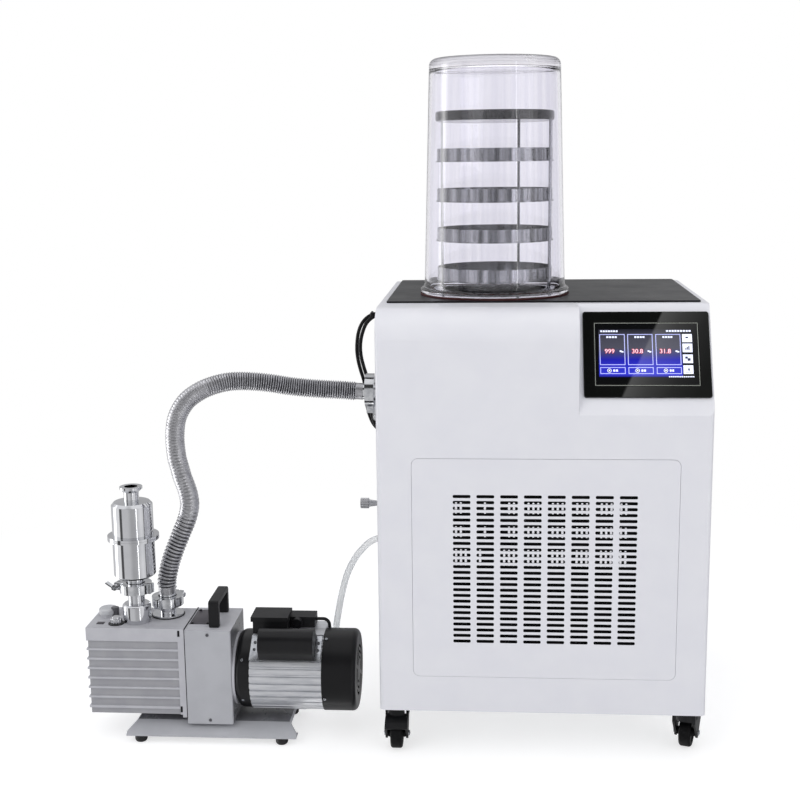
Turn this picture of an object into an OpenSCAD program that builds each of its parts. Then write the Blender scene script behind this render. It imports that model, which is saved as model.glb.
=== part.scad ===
// Benchtop freeze dryer: a cabinet on casters with a clear drying jar, and the
// rotary vane vacuum pump that stands beside it.
// Millimetres, +Z up, floor at z = 0, front towards -Y, pump at the -X side.

/* [Cabinet] */
// Width of the cabinet
cab_w = 530; // [500:1:580]
// Depth of the cabinet
cab_d = 480; // [470:1:540]
// Height of the cabinet body above its casters
cab_h = 662; // [650:1:700]
// Thickness of the outer sheet
sheet_t = 2; // [1.5:0.25:3]
// Depth of the front shell, from its face to the seam behind it
shell_d = 105; // [100:1:115]
// Radius of the rounded top edge left of the console
brow_r = 52; // [30:1:60]
// Radius of the upright edges
edge_r = 8; // [5:0.5:12]
// Gap between neighbouring covers
seam = 0.5; // [0.3:0.1:1]

/* [Console and screen] */
// Distance from the centre line to the left end of the sloped console
console_x = 55; // [40:1:60]
// Height of the sloped console
console_rise = 165; // [160:1:180]
// Depth of the sloped console
console_run = 92; // [80:1:95]
// Width of the screen bezel
bezel_w = 199; // [190:1:202]
// Height of the screen bezel along the slope
bezel_h = 145; // [130:1:150]
// How far the bezel stands out of the console
bezel_t = 4; // [2:0.5:6]
// Gap from the bezel to the right side of the cabinet
bezel_gap = 3; // [2:0.5:6]
// Width of the touch screen
screen_w = 163; // [150:1:170]
// Height of the touch screen
screen_h = 106; // [95:1:112]
// Thickness of the touch screen's glass
screen_t = 1.8; // [1:0.2:2.4]

/* [Grille panel] */
// Width of the access panel in the front
grille_w = 423; // [400:1:440]
// Height of the access panel
grille_h = 365; // [340:1:380]
// Height of the access panel's lower edge above the body's underside
grille_z = 61; // [50:1:70]
// Columns of slots
slot_cols = 8; // [4:1:9]
// Rows of slots
slot_rows = 26; // [10:1:28]
// Length of a slot
slot_w = 27.4; // [20:0.2:32]
// Height of a slot
slot_h = 4.2; // [3:0.2:6]
// Distance between columns
slot_dx = 37.7; // [34:0.1:44]
// Distance between rows
slot_dz = 9.7; // [8:0.1:11]

/* [Cold trap] */
// Inner radius of the cold trap
trap_r = 90; // [80:1:92]
// Depth of the cold trap
trap_depth = 200; // [180:1:220]
// Wall of the cold trap
trap_t = 1.5; // [1:0.25:2]
// Distance of the trap's axis left of the cabinet's centre line
trap_dx = 78; // [70:1:90]
// Distance of the trap's axis behind the cabinet's front
trap_dy = 235; // [220:1:250]
// Thickness of the foam around the trap
foam_t = 27; // [20:1:30]
// Outer radius of the evaporator tube
coil_tube_r = 4; // [3:0.5:5]
// Turns of the evaporator tube
coil_turns = 6; // [4:1:8]
// Thickness of the black top plate
plate_t = 3; // [2:0.5:5]
// White margin around the black top plate
plate_margin = 11; // [8:1:20]

/* [Drying jar and rack] */
// Radius of the jar's foot flange
jar_foot_r = 127; // [124:1:132]
// Thickness of the jar's foot flange
jar_foot_t = 10; // [8:1:14]
// Outer radius of the jar just above its foot
jar_r = 119.4; // [117:0.2:122]
// Outer radius of the jar at its top
jar_top_r = 109.8; // [109.4:0.2:114]
// Height of the jar
jar_h = 389; // [370:1:420]
// Wall of the jar
jar_t = 5; // [4:0.5:6]
// Thickness of the jar's top
jar_top_t = 17; // [12:1:20]
// Thickness of the rubber gasket under the jar
gasket_t = 3; // [2:0.5:5]
// Outer radius of a tray
tray_r = 97.5; // [90:0.5:97.5]
// Height of a tray
tray_h = 20; // [15:1:30]
// Wall of a tray
tray_t = 1.2; // [1:0.1:1.6]
// Distance from one shelf to the next
tray_pitch = 66; // [50:1:68]
// Trays on the rack
tray_count = 4; // [2:1:4]
// Height of the first shelf above the trap's rim
first_shelf = 25.5; // [15:0.5:40]
// Thickness of a shelf
shelf_t = 2; // [1.5:0.5:3]
// Radius of a rack post
post_r = 2.5; // [2:0.25:3]
// Radius of the rack's cover plate
cover_r = 100; // [95:0.5:103]
// Thickness of the rack's cover plate
cover_t = 16; // [10:1:18]

/* [Casters] */
// Height of the casters
caster_h = 76; // [70:1:90]
// Radius of a caster wheel
wheel_r = 25; // [20:0.5:27]
// Width of a caster wheel
wheel_w = 20; // [18:0.5:24]
// Distance from the swivel axis to the wheel's axle
trail = 15; // [12:1:16]
// Distance of the swivel axis from the cabinet's side
caster_in_x = 26; // [24:1:60]
// Distance of the swivel axis from the cabinet's front and back
caster_in_y = 41; // [41:1:60]

/* [Refrigeration] */
// Radius of the condenser fan's blades
fan_r = 120; // [100:1:125]
// Height of the fan's axis above the cabinet's floor
fan_z = 200; // [180:1:205]
// Radius of the compressor
comp_r = 80; // [70:1:90]
// Height of the compressor
comp_h = 205; // [180:1:230]

/* [Vacuum fittings] */
// Height of the vacuum port above the floor
port_z = 568; // [566:0.5:590]
// Outer radius of the vacuum pipes
pipe_r = 14; // [13:0.5:15]
// Wall of the vacuum pipes
pipe_t = 1.5; // [1:0.25:2]
// Radius of the clamped flanges
flange_r = 20; // [19:0.5:21]
// Distance from the cabinet's side to the first flange joint
port_out = 31; // [28:1:40]
// Height of the release valve above the floor
valve_z = 365; // [340:1:380]
// Height of the drain outlet above the floor
drain_z = 300; // [280:1:320]

/* [Pump] */
// Distance from the oil tank's left face to the cabinet's side
pump_to_cab = 500; // [490:1:540]
// Distance of the motor's axis behind the cabinet's front
pump_dy = 90; // [88:1:100]
// Height of the motor's axis
motor_z = 110; // [108:1:116]
// Length of the oil tank
tank_l = 169; // [160:1:180]
// Width of the oil tank, front to back
tank_w = 104; // [102:1:120]
// Height of the oil tank
tank_h = 153; // [150:1:160]
// Height of the oil tank's underside above the floor
tank_z = 46; // [44:1:50]
// Depth of the grooves between the oil tank's ribs
rib_d = 2.5; // [2:0.5:6]
// Ribs' pitch
rib_dz = 17; // [14:0.5:17.5]
// Length of the bearing housing
housing_l = 79; // [70:1:90]
// Width of the bearing housing, front to back
housing_w = 112; // [110:1:120]
// Length of the end bell
bell_l = 30; // [22:1:34]
// Length of the motor's ribbed body
motor_l = 122; // [114:1:150]
// Radius of the motor over its ribs
motor_r = 68.5; // [66:0.5:70]
// Length of the fan cover
fan_cover_l = 57; // [52:1:74]
// Radius of the fan cover
fan_cover_r = 69.5; // [66:0.5:72]
// Radius of the motor's shaft
shaft_r = 7; // [6:0.5:8]
// Height of the pump's rubber feet
foot_h = 12; // [10:1:14]
// Height of the handle above the housing
handle_h = 46.5; // [35:0.5:50]
// Distance between the centres of the handle's legs
handle_span = 75; // [65:1:80]

/* [Exhaust filter] */
// Radius of the filter's can
can_r = 35; // [30:0.5:36]
// Radius of the band around the can's joint
band_r = 43; // [40:0.5:44]
// Height of the can's lower half
can_low_h = 65; // [50:1:80]
// Height of the can's upper half
can_up_h = 57; // [50:1:80]
// Wall of the can
can_t = 1.5; // [1:0.25:2]

/* [Hidden] */
$fn = 64;

// Running clearance of a shaft in its bore, and the play of loose fits
run = 0.06;
play = 0.3;

// Colours
WHITE = [0.86, 0.86, 0.88];
BLACK = [0.07, 0.07, 0.08];
PLATE = [0.26, 0.26, 0.28];
STEEL = [0.72, 0.73, 0.74];
CAST = [0.68, 0.68, 0.70];
ALLOY = [0.80, 0.81, 0.83];
COPPER = [0.72, 0.45, 0.30];
RUBBER = [0.10, 0.10, 0.10];
CLEAR = [0.85, 0.90, 0.92, 0.35];

// Overall layout: the origin is under the middle of the whole system
sight_proud = 2;
switch_proud = 6;
total_w = sight_proud + pump_to_cab + cab_w + switch_proud;
cab_x = total_w / 2 - switch_proud - cab_w / 2;
side_x = cab_x - cab_w / 2;
front_y = -cab_d / 2;
back_y = cab_d / 2;
seam_y = front_y + shell_d;
base_z = caster_h;
top_z = base_z + cab_h;
pan_t = 2;
pan_flange = 30;
lip_h = 12;
pump_x = -total_w / 2 + sight_proud;
pump_y = front_y + pump_dy;

// Console plane
slope = atan2(console_rise, console_run);
console_z = top_z - console_rise;
bezel_x = cab_w / 2 - bezel_gap - bezel_w / 2;
bezel_u = sqrt(console_rise * console_rise + console_run * console_run) * 0.534;
screen_back_w = bezel_w - 20;
screen_back_h = bezel_h - 18;
screen_back_d = 30;

// Cold trap and what stacks on it
trap_x = cab_x - trap_dx;
trap_y = front_y + trap_dy;
trap_out = trap_r + trap_t;
mouth_r = trap_out + 2;
plate_top = top_z + plate_t;
rim_z = plate_top + trap_t;
gasket_out = jar_foot_r;
rim_r = gasket_out - 20;
gasket_in = rim_r + 2;
trap_bottom = rim_z - trap_depth;
coil_steps = 20;
coil_r = (trap_out + play + coil_tube_r) / cos(180 / coil_steps);
foam_in = coil_r + coil_tube_r + 1;
foam_out = foam_in + foam_t;
foam_floor = 14;
coil_z0 = port_z + pipe_r + 14;
coil_z1 = top_z - 34;
jar_z = plate_top + gasket_t;
shelf_z0 = rim_z + first_shelf;
post_ring = tray_r + 0.5 + post_r;
post_angles = [-26, 65, 157];
cover_z = shelf_z0 + tray_count * tray_pitch - 1;

// Casters
plate_caster = 3;
pin_r = 5;
disc_r = 20.5;
disc_t = 3;
leg_t = 3.5;
axle_r = 4;
leg_x = wheel_w / 2 + 5.5;
hood_gap = 3;
hood_t = 3;

// Refrigeration
pan_top = base_z + pan_t;
cond_w = 330;
cond_h = 370;
cond_d = 40;
cond_y = front_y + 15;
fan_y = cond_y + cond_d;
fan_axis_z = base_z + fan_z;
comp_x = cab_x + 130;
comp_y = front_y + 350;

ctrl_w = 120;
ctrl_d = 200;
ctrl_h = 220;
ctrl_z = 360;

// Vacuum fittings
pipe_in = pipe_r - pipe_t;
joint_x = side_x - port_out;
clamp_w = 16;
clamp_r = 27;
hose_neck = 12;
glands_up_z = 700;
glands_low_z = 488;
gland_ys = [trap_y + 35, trap_y + 47];
gland_out = 9;
drain_out = 14;

// Pump layout along X, from the tank's left face
housing_x = pump_x + tank_l;
bell_x = housing_x + housing_l;
motor_x = bell_x + bell_l;
cowl_x = motor_x + motor_l;
pump_front = pump_y - 58;
tank_top = tank_z + tank_h;
base_from = 65;
base_l = 291;
base_in = 44;
base_out = 72;
base_fold = 16;
plate_base_t = 2.5;
foot_in = 50;
foot_r = 10.5;
foot_inset = 23;
base_top = 31;
housing_top = tank_top - 1.5;
tank_wall = rib_d + 4;
stator_r = 34;
vane_bore = 26.3;
vane_off = 3.5;
vane_r = 22.5;
inlet_at = [pump_x + 125, pump_y + 13];
exhaust_at = [pump_x + 80, pump_y - 21];
knob_at = [pump_x + 47, pump_y - 35];
cap_at = [pump_x + 21, pump_y + 8];
inlet_joint = tank_top + 27;
exhaust_joint = tank_top + 61;
can_z0 = exhaust_joint + 20;
band_z = can_z0 + can_low_h;
band_h = 4;
can_z1 = band_z + 2 * band_h + can_up_h;
outlet_z = can_z1 + 26;

// Routes of the hose, the drain tube and the two sensor cables, as offsets from where each starts
HOSE_R = 15;
HOSE = [[0, 0, 0], [-19, 0, 1], [-41, -2, 3], [-71, -5, 5], [-101, -9, 8], [-130, -14, 12],
        [-159, -21, 18], [-187, -27, 22], [-215, -34, 24], [-237, -41, 23], [-256, -48, 19],
        [-273, -54, 13], [-289, -60, 4], [-301, -65, -6], [-310, -71, -19], [-316, -77, -34],
        [-318, -83, -50], [-318, -89, -68], [-316, -94, -84], [-313, -99, -100], [-308, -103, -116],
        [-303, -107, -131], [-297, -110, -146], [-292, -114, -161], [-290, -117, -176],
        [-292, -120, -191], [-297, -123, -207], [-304, -125, -223], [-311, -127, -240],
        [-318, -129, -257], [-324, -130, -274], [-328.5, -131, -291], [-332, -132, -309],
        [-332, -132, -330]];
DRAIN_R = 5.8;
DRAIN = [[0, 0, 0], [-6, 0, 0], [-15, -1, -3], [-26, -2, -10], [-36, -4, -20], [-46, -7, -32],
         [-55, -10, -47],
         [-63, -14, -65], [-69, -18, -86], [-74, -22, -108], [-78, -25, -130], [-82, -28, -154],
         [-85, -30, -178], [-89, -32, -202], [-95, -33, -226], [-104, -33, -249], [-117, -33, -269],
         [-134, -33, -284], [-154, -32, -292], [-176, -31, -293.9], [-202, -29, -293.9],
         [-230, -26, -293.9], [-258, -22, -293.9], [-286, -17, -293.9], [-314, -11, -293.9],
         [-342, -4, -293.9]];
CABLE_R = 3.2;
CABLE_A = [[0, 0, 0], [-12, 0, 0], [-23, 0, -3], [-33, 0, -10], [-41, 0, -21], [-46, 0, -35],
           [-48.5, 0, -51], [-49, 0, -68], [-47, 0, -85], [-43, 0, -102], [-38, 0, -119],
           [-35, 0, -136], [-33.5, 0, -153], [-32, 0, -169], [-28, 0, -185], [-22, 0, -199],
           [-13, 0, -209], [0, 0, -212]];
CABLE_B = [[0, 0, 0], [-5, 0, 0], [-12, 0, -2], [-21, 0, -7], [-30, 0, -16], [-36, 0, -29], [-40, 0, -44],
           [-41.5, 0, -60], [-40, 0, -77], [-36, 0, -94], [-31, 0, -111], [-27, 0, -128],
           [-25.5, 0, -145], [-25, 0, -162], [-23, 0, -179], [-19, 0, -194], [-12, 0, -206],
           [0, 0, -212]];

// ---- Shared functions ----
function arc(cx, cy, r, a0, a1, n = 6) =
    [for (i = [0:n]) let (a = a0 + (a1 - a0) * i / n) [cx + r * cos(a), cy + r * sin(a)]];
function rounded(w, h, r, n = 4) = concat(
    arc(w / 2 - r, h / 2 - r, r, 0, 90, n), arc(-w / 2 + r, h / 2 - r, r, 90, 180, n),
    arc(-w / 2 + r, -h / 2 + r, r, 180, 270, n), arc(w / 2 - r, -h / 2 + r, r, 270, 360, n));
function unit(v) = v / norm(v);
function tangent(p, i) = unit(p[min(i + 1, len(p) - 1)] - p[max(i - 1, 0)]);
function across(v, t) = unit(v - (v * t) * t);
// A direction across the route at each of its points, carried along it without twisting
function carried(p, side) = [for (i = 0, u = across(side, tangent(p, 0)); i < len(p);
    i = i + 1, u = i < len(p) ? across(u, tangent(p, i)) : u) u];
// One ring of a tube around route point i
function ring(p, u, i, r, sides) = let (v = cross(tangent(p, i), u[i]))
    [for (k = [0:sides - 1]) p[i] + r * (cos(360 * k / sides) * u[i] + sin(360 * k / sides) * v)];

// A route moved to start at a, and stretched along each axis so that it ends at b
function fitted(p, a, b) = let (e = p[len(p) - 1]) [for (v = p) [for (k = [0:2])
    a[k] + v[k] * (abs(e[k]) < 1 ? 1 : (b[k] - a[k]) / e[k])]];

module tube(p, r, sides, side = [0.2, 1, 0.1]) {
    n = len(p);
    u = carried(p, side);
    walls = [for (i = [0:n - 2]) for (k = [0:sides - 1])
        let (a = i * sides + k, b = i * sides + (k + 1) % sides)
        each [[b + sides, b, a], [a + sides, b + sides, a]]];
    polyhedron(points = [for (i = [0:n - 1]) each ring(p, u, i, r, sides)], faces = concat(walls,
        [[for (k = [0:sides - 1]) k]], [[for (k = [sides - 1:-1:0]) (n - 1) * sides + k]]), convexity = 8);
}

// Turns a solid whose axis is Z so that it runs towards +X, -X, -Y or +Y
module along_x() rotate([0, 90, 0]) children();
module along_minus_x() rotate([0, -90, 0]) children();
module along_minus_y() rotate([90, 0, 0]) children();

// Extrudes an outline given as [y, z] points along X, from x = from to x = to
module x_extrude(from, to) translate([from, 0, 0]) rotate([90, 0, 90]) linear_extrude(to - from) children();

// ---- Front shell ----
// Side view of the shell left of the console, and at the console, inset by i
function brow_outline(i) = let (o = i > 0 ? 1 : 0) concat(
    [[seam_y + o, base_z - o], [front_y + i, base_z - o]],
    arc(front_y + brow_r, top_z - brow_r, brow_r - i, 180, 90, 10), [[seam_y + o, top_z - i]]);
function console_outline(i) = let (o = i > 0 ? 1 : 0) [
    [seam_y + o, base_z - o], [front_y + i, base_z - o],
    [front_y + i, console_z - i * (1 - sin(slope)) / cos(slope)],
    [front_y + (i + cos(slope) * (console_rise - i)) / sin(slope), top_z - i], [seam_y + o, top_z - i]];

module shell_form(i) intersection() {
    union() {
        x_extrude(side_x + i, cab_x + console_x - i) polygon(brow_outline(i));
        x_extrude(side_x + i, side_x + cab_w - i) polygon(console_outline(i));
    }
    translate([0, 0, base_z - 2]) linear_extrude(cab_h + 4) polygon(concat(
        arc(side_x + edge_r, front_y + edge_r, edge_r - i, 180, 270, 4),
        arc(side_x + cab_w - edge_r, front_y + edge_r, edge_r - i, 270, 360, 4),
        [[side_x + cab_w - i, seam_y + 2], [side_x + i, seam_y + 2]]));
}

module on_console() translate([cab_x, front_y, console_z]) rotate([slope, 0, 0]) children();

module front_shell() {
    ledge = 9;
    gx = cab_x + 3;
    gz = base_z + grille_z + grille_h / 2;
    color(WHITE) difference() {
        union() {
            difference() {
                shell_form(0);
                shell_form(sheet_t);
            }
            translate([gx, front_y + 2 * sheet_t, gz]) along_minus_y()
                linear_extrude(sheet_t) polygon(rounded(grille_w + 16, grille_h + 16, 12));
        }
        translate([gx, front_y + sheet_t, gz]) along_minus_y()
            linear_extrude(sheet_t + 1) polygon(rounded(grille_w + 2 * seam, grille_h + 2 * seam, 10 + seam));
        translate([gx, front_y + 3 * sheet_t, gz]) along_minus_y()
            linear_extrude(4 * sheet_t) polygon(rounded(grille_w - 2 * ledge, grille_h - 2 * ledge, 4));
        on_console() translate([bezel_x, bezel_u, -2 * sheet_t])
            linear_extrude(4 * sheet_t) polygon(rounded(screen_back_w + 1, screen_back_h + 1, 3));
    }
}

module grille_panel() color(WHITE)
    translate([cab_x + 3, front_y + sheet_t, base_z + grille_z + grille_h / 2]) along_minus_y()
    linear_extrude(sheet_t) difference() {
        polygon(rounded(grille_w, grille_h, 10));
        for (c = [0:slot_cols - 1]) for (r = [0:slot_rows - 1])
            translate([(c - (slot_cols - 1) / 2) * slot_dx, (r - (slot_rows - 1) / 2) * slot_dz]) {
                square([slot_w - slot_h, slot_h], center = true);
                for (e = [-1, 1]) translate([e * (slot_w - slot_h) / 2, 0]) circle(r = slot_h / 2, $fn = 32);
            }
    }

// ---- Screen ----
module screen_bezel() {
    color(BLACK) on_console() translate([bezel_x, bezel_u, 0]) difference() {
        union() {
            linear_extrude(bezel_t) polygon(rounded(bezel_w, bezel_h, 4));
            translate([0, 0, -screen_back_d])
                linear_extrude(screen_back_d + 1) polygon(rounded(screen_back_w, screen_back_h, 3));
        }
        translate([0, 0, bezel_t - screen_t])
            linear_extrude(screen_t + 1) polygon(rounded(screen_w + play, screen_h + play, 1.5));
    }
}

module touch_screen() color([0.05, 0.1, 0.3]) on_console()
    translate([bezel_x, bezel_u, bezel_t - screen_t])
        linear_extrude(screen_t) polygon(rounded(screen_w, screen_h, 1.4));

// ---- Wrap, top and frame ----
module cabinet_wrap() {
    y0 = seam_y + seam;
    outer = concat([[side_x, y0]], arc(side_x + edge_r, back_y - edge_r, edge_r, 180, 90, 4),
        arc(side_x + cab_w - edge_r, back_y - edge_r, edge_r, 90, 0, 4), [[side_x + cab_w, y0]]);
    ir = edge_r - sheet_t;
    inner = concat([[side_x + cab_w - sheet_t, y0]],
        arc(side_x + cab_w - edge_r, back_y - edge_r, ir, 0, 90, 4),
        arc(side_x + edge_r, back_y - edge_r, ir, 90, 180, 4), [[side_x + sheet_t, y0]]);
    color(WHITE) difference() {
        translate([0, 0, base_z]) linear_extrude(cab_h - sheet_t) polygon(concat(outer, inner));
        side_hole(trap_y, port_z, pipe_r + 1);
        side_hole(trap_y, valve_z, 7 + play);
        side_hole(trap_y, drain_z, 6 + play);
        for (y = gland_ys) for (z = [glands_up_z, glands_low_z]) side_hole(y, z, 4 + play);
        translate([inlet_x, inlet_y - inlet_w / 2 - play, inlet_z - inlet_h / 2 - play])
            cube([4 * sheet_t, inlet_w + 2 * play, inlet_h + 2 * play]);
        for (i = [0:11])
            translate([cab_x - 90, back_y - 2 * sheet_t, base_z + 120 + 14 * i]) cube([180, 4 * sheet_t, 5]);
    }
}

module side_hole(y, z, r) translate([side_x - sheet_t, y, z]) along_x() cylinder(h = 4 * sheet_t, r = r);

module top_panel() {
    y0 = seam_y + seam;
    color(WHITE) difference() {
        union() {
            translate([0, 0, top_z - sheet_t]) linear_extrude(sheet_t) polygon(concat(
                [[side_x + cab_w, y0]], arc(side_x + cab_w - edge_r, back_y - edge_r, edge_r, 0, 90, 4),
                arc(side_x + edge_r, back_y - edge_r, edge_r, 90, 180, 4), [[side_x, y0]]));
            for (x = [side_x + sheet_t, side_x + cab_w - 2 * sheet_t])
                translate([x, y0 + 1, top_z - sheet_t - lip_h])
                    cube([sheet_t, back_y - y0 - edge_r - 1, lip_h + 0.5]);
        }
        translate([trap_x, trap_y, top_z - 10]) cylinder(h = 20, r = mouth_r);
    }
}

module top_plate() {
    w = cab_w - 2 * plate_margin;
    y0 = seam_y + 2;
    d = back_y - plate_margin + 2 - y0;
    color(PLATE) difference() {
        translate([cab_x, y0 + d / 2, top_z]) linear_extrude(plate_t) polygon(rounded(w, d, 4));
        translate([trap_x, trap_y, top_z - 1]) cylinder(h = plate_t + 2, r = mouth_r);
    }
}

function caster_at(ix, iy) = [side_x + (ix == 0 ? caster_in_x : cab_w - caster_in_x),
                              iy == 0 ? front_y + caster_in_y : back_y - caster_in_y];

module caster_mount() {
    translate([-20, -26, base_z - plate_caster]) cube([40, 52, plate_caster]);
    top = base_z - plate_caster;
    translate([0, 0, top - play - disc_t - play - 0.5]) cylinder(h = play + disc_t + play + 1, r = pin_r);
    translate([0, 0, top - play - disc_t - play - 3]) cylinder(h = 3, r = pin_r + 4);
}

module base_frame() {
    w = cab_w - 2 * sheet_t;
    d = cab_d - 2 * sheet_t;
    h = top_z - sheet_t - lip_h - pan_top;
    color(STEEL) {
        difference() {
            translate([cab_x, 0, base_z]) linear_extrude(pan_flange) polygon(rounded(w, d, edge_r));
            translate([cab_x, 0, pan_top])
                linear_extrude(pan_flange) polygon(rounded(w - 2 * pan_t, d - 2 * pan_t, edge_r - 1));
        }
        for (ix = [0, 1]) for (iy = [0, 1]) {
            translate([for (k = [0:2]) k == 2 ? 0 : caster_at(ix, iy)[k]]) caster_mount();
            x = ix == 0 ? side_x + 2 * sheet_t : side_x + cab_w - 2 * sheet_t - 22;
            y = iy == 0 ? seam_y + 4 : back_y - edge_r - 22;
            translate([x, y, pan_top - 0.5]) difference() {
                cube([22, 20, h + 0.5]);
                translate([ix == 0 ? 2 : -1, iy == 0 ? 2 : -1, -1]) cube([21, 19, h + 3]);
            }
        }
    }
}

// ---- Casters: the swivel axis is the local origin and the wheel trails towards -Y ----
module fork() {
    top = base_z - plate_caster - play;
    reach = leg_x + leg_t;
    hood = wheel_r + hood_gap;
    low = 2 * wheel_r + hood_gap + hood_t;
    color(BLACK) {
        difference() {
            union() {
                translate([0, 0, low]) cylinder(h = top - low, r = disc_r);
                x_extrude(-reach, reach) polygon(concat([[16, top - 2], [16, low - 4]],
                    arc(-trail, wheel_r, 9, 360, 180, 8),
                    arc(-trail, wheel_r, hood + hood_t, 145, 92, 8), [[-disc_r + 4, low + 3]]));
            }
            x_extrude(-leg_x, leg_x) polygon(concat([[14, top - disc_t], [14, low - 2], [30, low - 6],
                [30, -2], [-60, -2]], arc(-trail, wheel_r, hood, 170, 90, 8), [[-16, top - disc_t]]));
            cylinder(h = 2 * base_z, r = pin_r + run);
            translate([0, -trail, wheel_r]) along_x() cylinder(h = 80, r = axle_r - 0.01, center = true);
        }
        translate([0, -trail, wheel_r]) along_x()
            cylinder(h = 2 * reach, r = axle_r, center = true);
        for (s = [-1, 1]) translate([s * (reach + 1), -trail, wheel_r]) along_x()
            cylinder(h = 2.2, r = 5, $fn = 6, center = true);
    }
}

module wheel() {
    w = wheel_w / 2;
    hub = leg_x - 0.3;
    soft = 4;
    color(RUBBER) translate([0, -trail, wheel_r]) along_x() rotate_extrude() polygon(concat(
        [[axle_r + run, -hub], [6.5, -hub], [8, 2 - w], [16.5, 2 - w], [17.5, -w]],
        arc(wheel_r - soft, soft - w, soft, 270, 360, 4), arc(wheel_r - soft, w - soft, soft, 0, 90, 4),
        [[17.5, w], [16.5, w - 2], [8, w - 2], [6.5, hub], [axle_r + run, hub]]));
}

module at_caster(ix, iy, turn) translate([caster_at(ix, iy)[0], caster_at(ix, iy)[1], 0])
    rotate([0, 0, turn]) children();

// ---- Cold trap ----
module cold_trap() color(STEEL) translate([trap_x, trap_y, 0]) difference() {
    union() {
        translate([0, 0, trap_bottom]) cylinder(h = trap_depth, r = trap_out);
        translate([0, 0, plate_top]) cylinder(h = trap_t, r = rim_r);
    }
    translate([0, 0, trap_bottom + trap_t]) cylinder(h = trap_depth, r = trap_r);
    translate([0, 0, port_z]) along_minus_x() cylinder(h = 2 * trap_out, r = pipe_in);
    translate([0, 0, trap_bottom - 1]) cylinder(h = 10, r = 4);
}

module trap_insulation() color([0.85, 0.82, 0.70]) translate([trap_x, trap_y, 0]) difference() {
    translate([0, 0, trap_bottom - foam_floor])
        cylinder(h = top_z - sheet_t - trap_bottom + foam_floor, r = foam_out);
    translate([0, 0, trap_bottom]) cylinder(h = top_z, r = foam_in);
    translate([0, 0, port_z]) along_minus_x() cylinder(h = 2 * foam_out, r = pipe_r + 1);
    translate([0, 0, trap_bottom - 2 * foam_floor]) cylinder(h = 3 * foam_floor, r = 7);
    rotate([0, 0, coil_in_angle]) translate([coil_r, 0, trap_bottom - 2 * foam_floor])
        cylinder(h = 3 * foam_floor, r = coil_tube_r + 0.6);
    rotate([0, 0, coil_out_angle]) translate([coil_r, 0, coil_z1]) along_x()
        cylinder(h = 2 * foam_t, r = 4 * coil_tube_r);
}

coil_in_angle = 40;
coil_out_angle = coil_in_angle + 90;

// The evaporator rises from the compressor, winds round the trap, leaves through the
// side of the foam and comes down to the condenser
function coil_point(a, z, out = 0) =
    [trap_x + (coil_r + out) * cos(a), trap_y + (coil_r + out) * sin(a), z];
function coil_route() = let (
        n = coil_turns * coil_steps + coil_steps / 4, drop = foam_out - coil_r + 12,
        rise = (coil_z1 - coil_z0) / n) concat(
    [[comp_x - 40, comp_y, pan_top + comp_h + 14], [comp_x - 40, comp_y, pan_top + comp_h + 40]],
    [coil_point(coil_in_angle, trap_bottom - 110) + [22, 22, 0]],
    [coil_point(coil_in_angle, trap_bottom - 60), coil_point(coil_in_angle, coil_z0 - 14)],
    [for (i = [0:n - 1]) coil_point(coil_in_angle + 360 * i / coil_steps, coil_z0 + rise * i)],
    [coil_point(coil_out_angle - 7, coil_z1, 1), coil_point(coil_out_angle - 3, coil_z1, 5)],
    [coil_point(coil_out_angle - 1, coil_z1, 12)],
    [coil_point(coil_out_angle, coil_z1, drop - 10), coil_point(coil_out_angle, coil_z1 - 4, drop - 2)],
    [coil_point(coil_out_angle, coil_z1 - 14, drop), coil_point(coil_out_angle, trap_bottom - 40, drop)],
    [[cab_x + 40, 20, base_z + 410], [cab_x + cond_w / 2 - 1, cond_y + 60, base_z + 320],
     [cab_x + cond_w / 2 - 1, cond_y + 52, base_z + 292]]);

module evaporator_coil() color(COPPER) tube(coil_route(), coil_tube_r, 8);

module vacuum_port() color(STEEL) translate([0, trap_y, port_z]) difference() {
    union() {
        translate([joint_x, 0, 0]) along_x() kf_solid(trap_x - joint_x);
    }
    translate([trap_x, 0, -port_z]) cylinder(h = 2 * port_z, r = trap_out);
    translate([joint_x - 1, 0, 0]) along_x() cylinder(h = trap_x - joint_x, r = pipe_in);
}

// A clamped flange with its joint face at the origin, its pipe running to +Z
module kf_solid(l) {
    cylinder(h = l, r = pipe_r);
    rotate_extrude() polygon([[0, 0], [flange_r, 0], [flange_r, 2.5], [pipe_r, 5.5], [0, 5.5]]);
}

module kf_stub(l) difference() {
    kf_solid(l);
    translate([0, 0, -1]) cylinder(h = l + 2, r = pipe_in);
}

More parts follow.
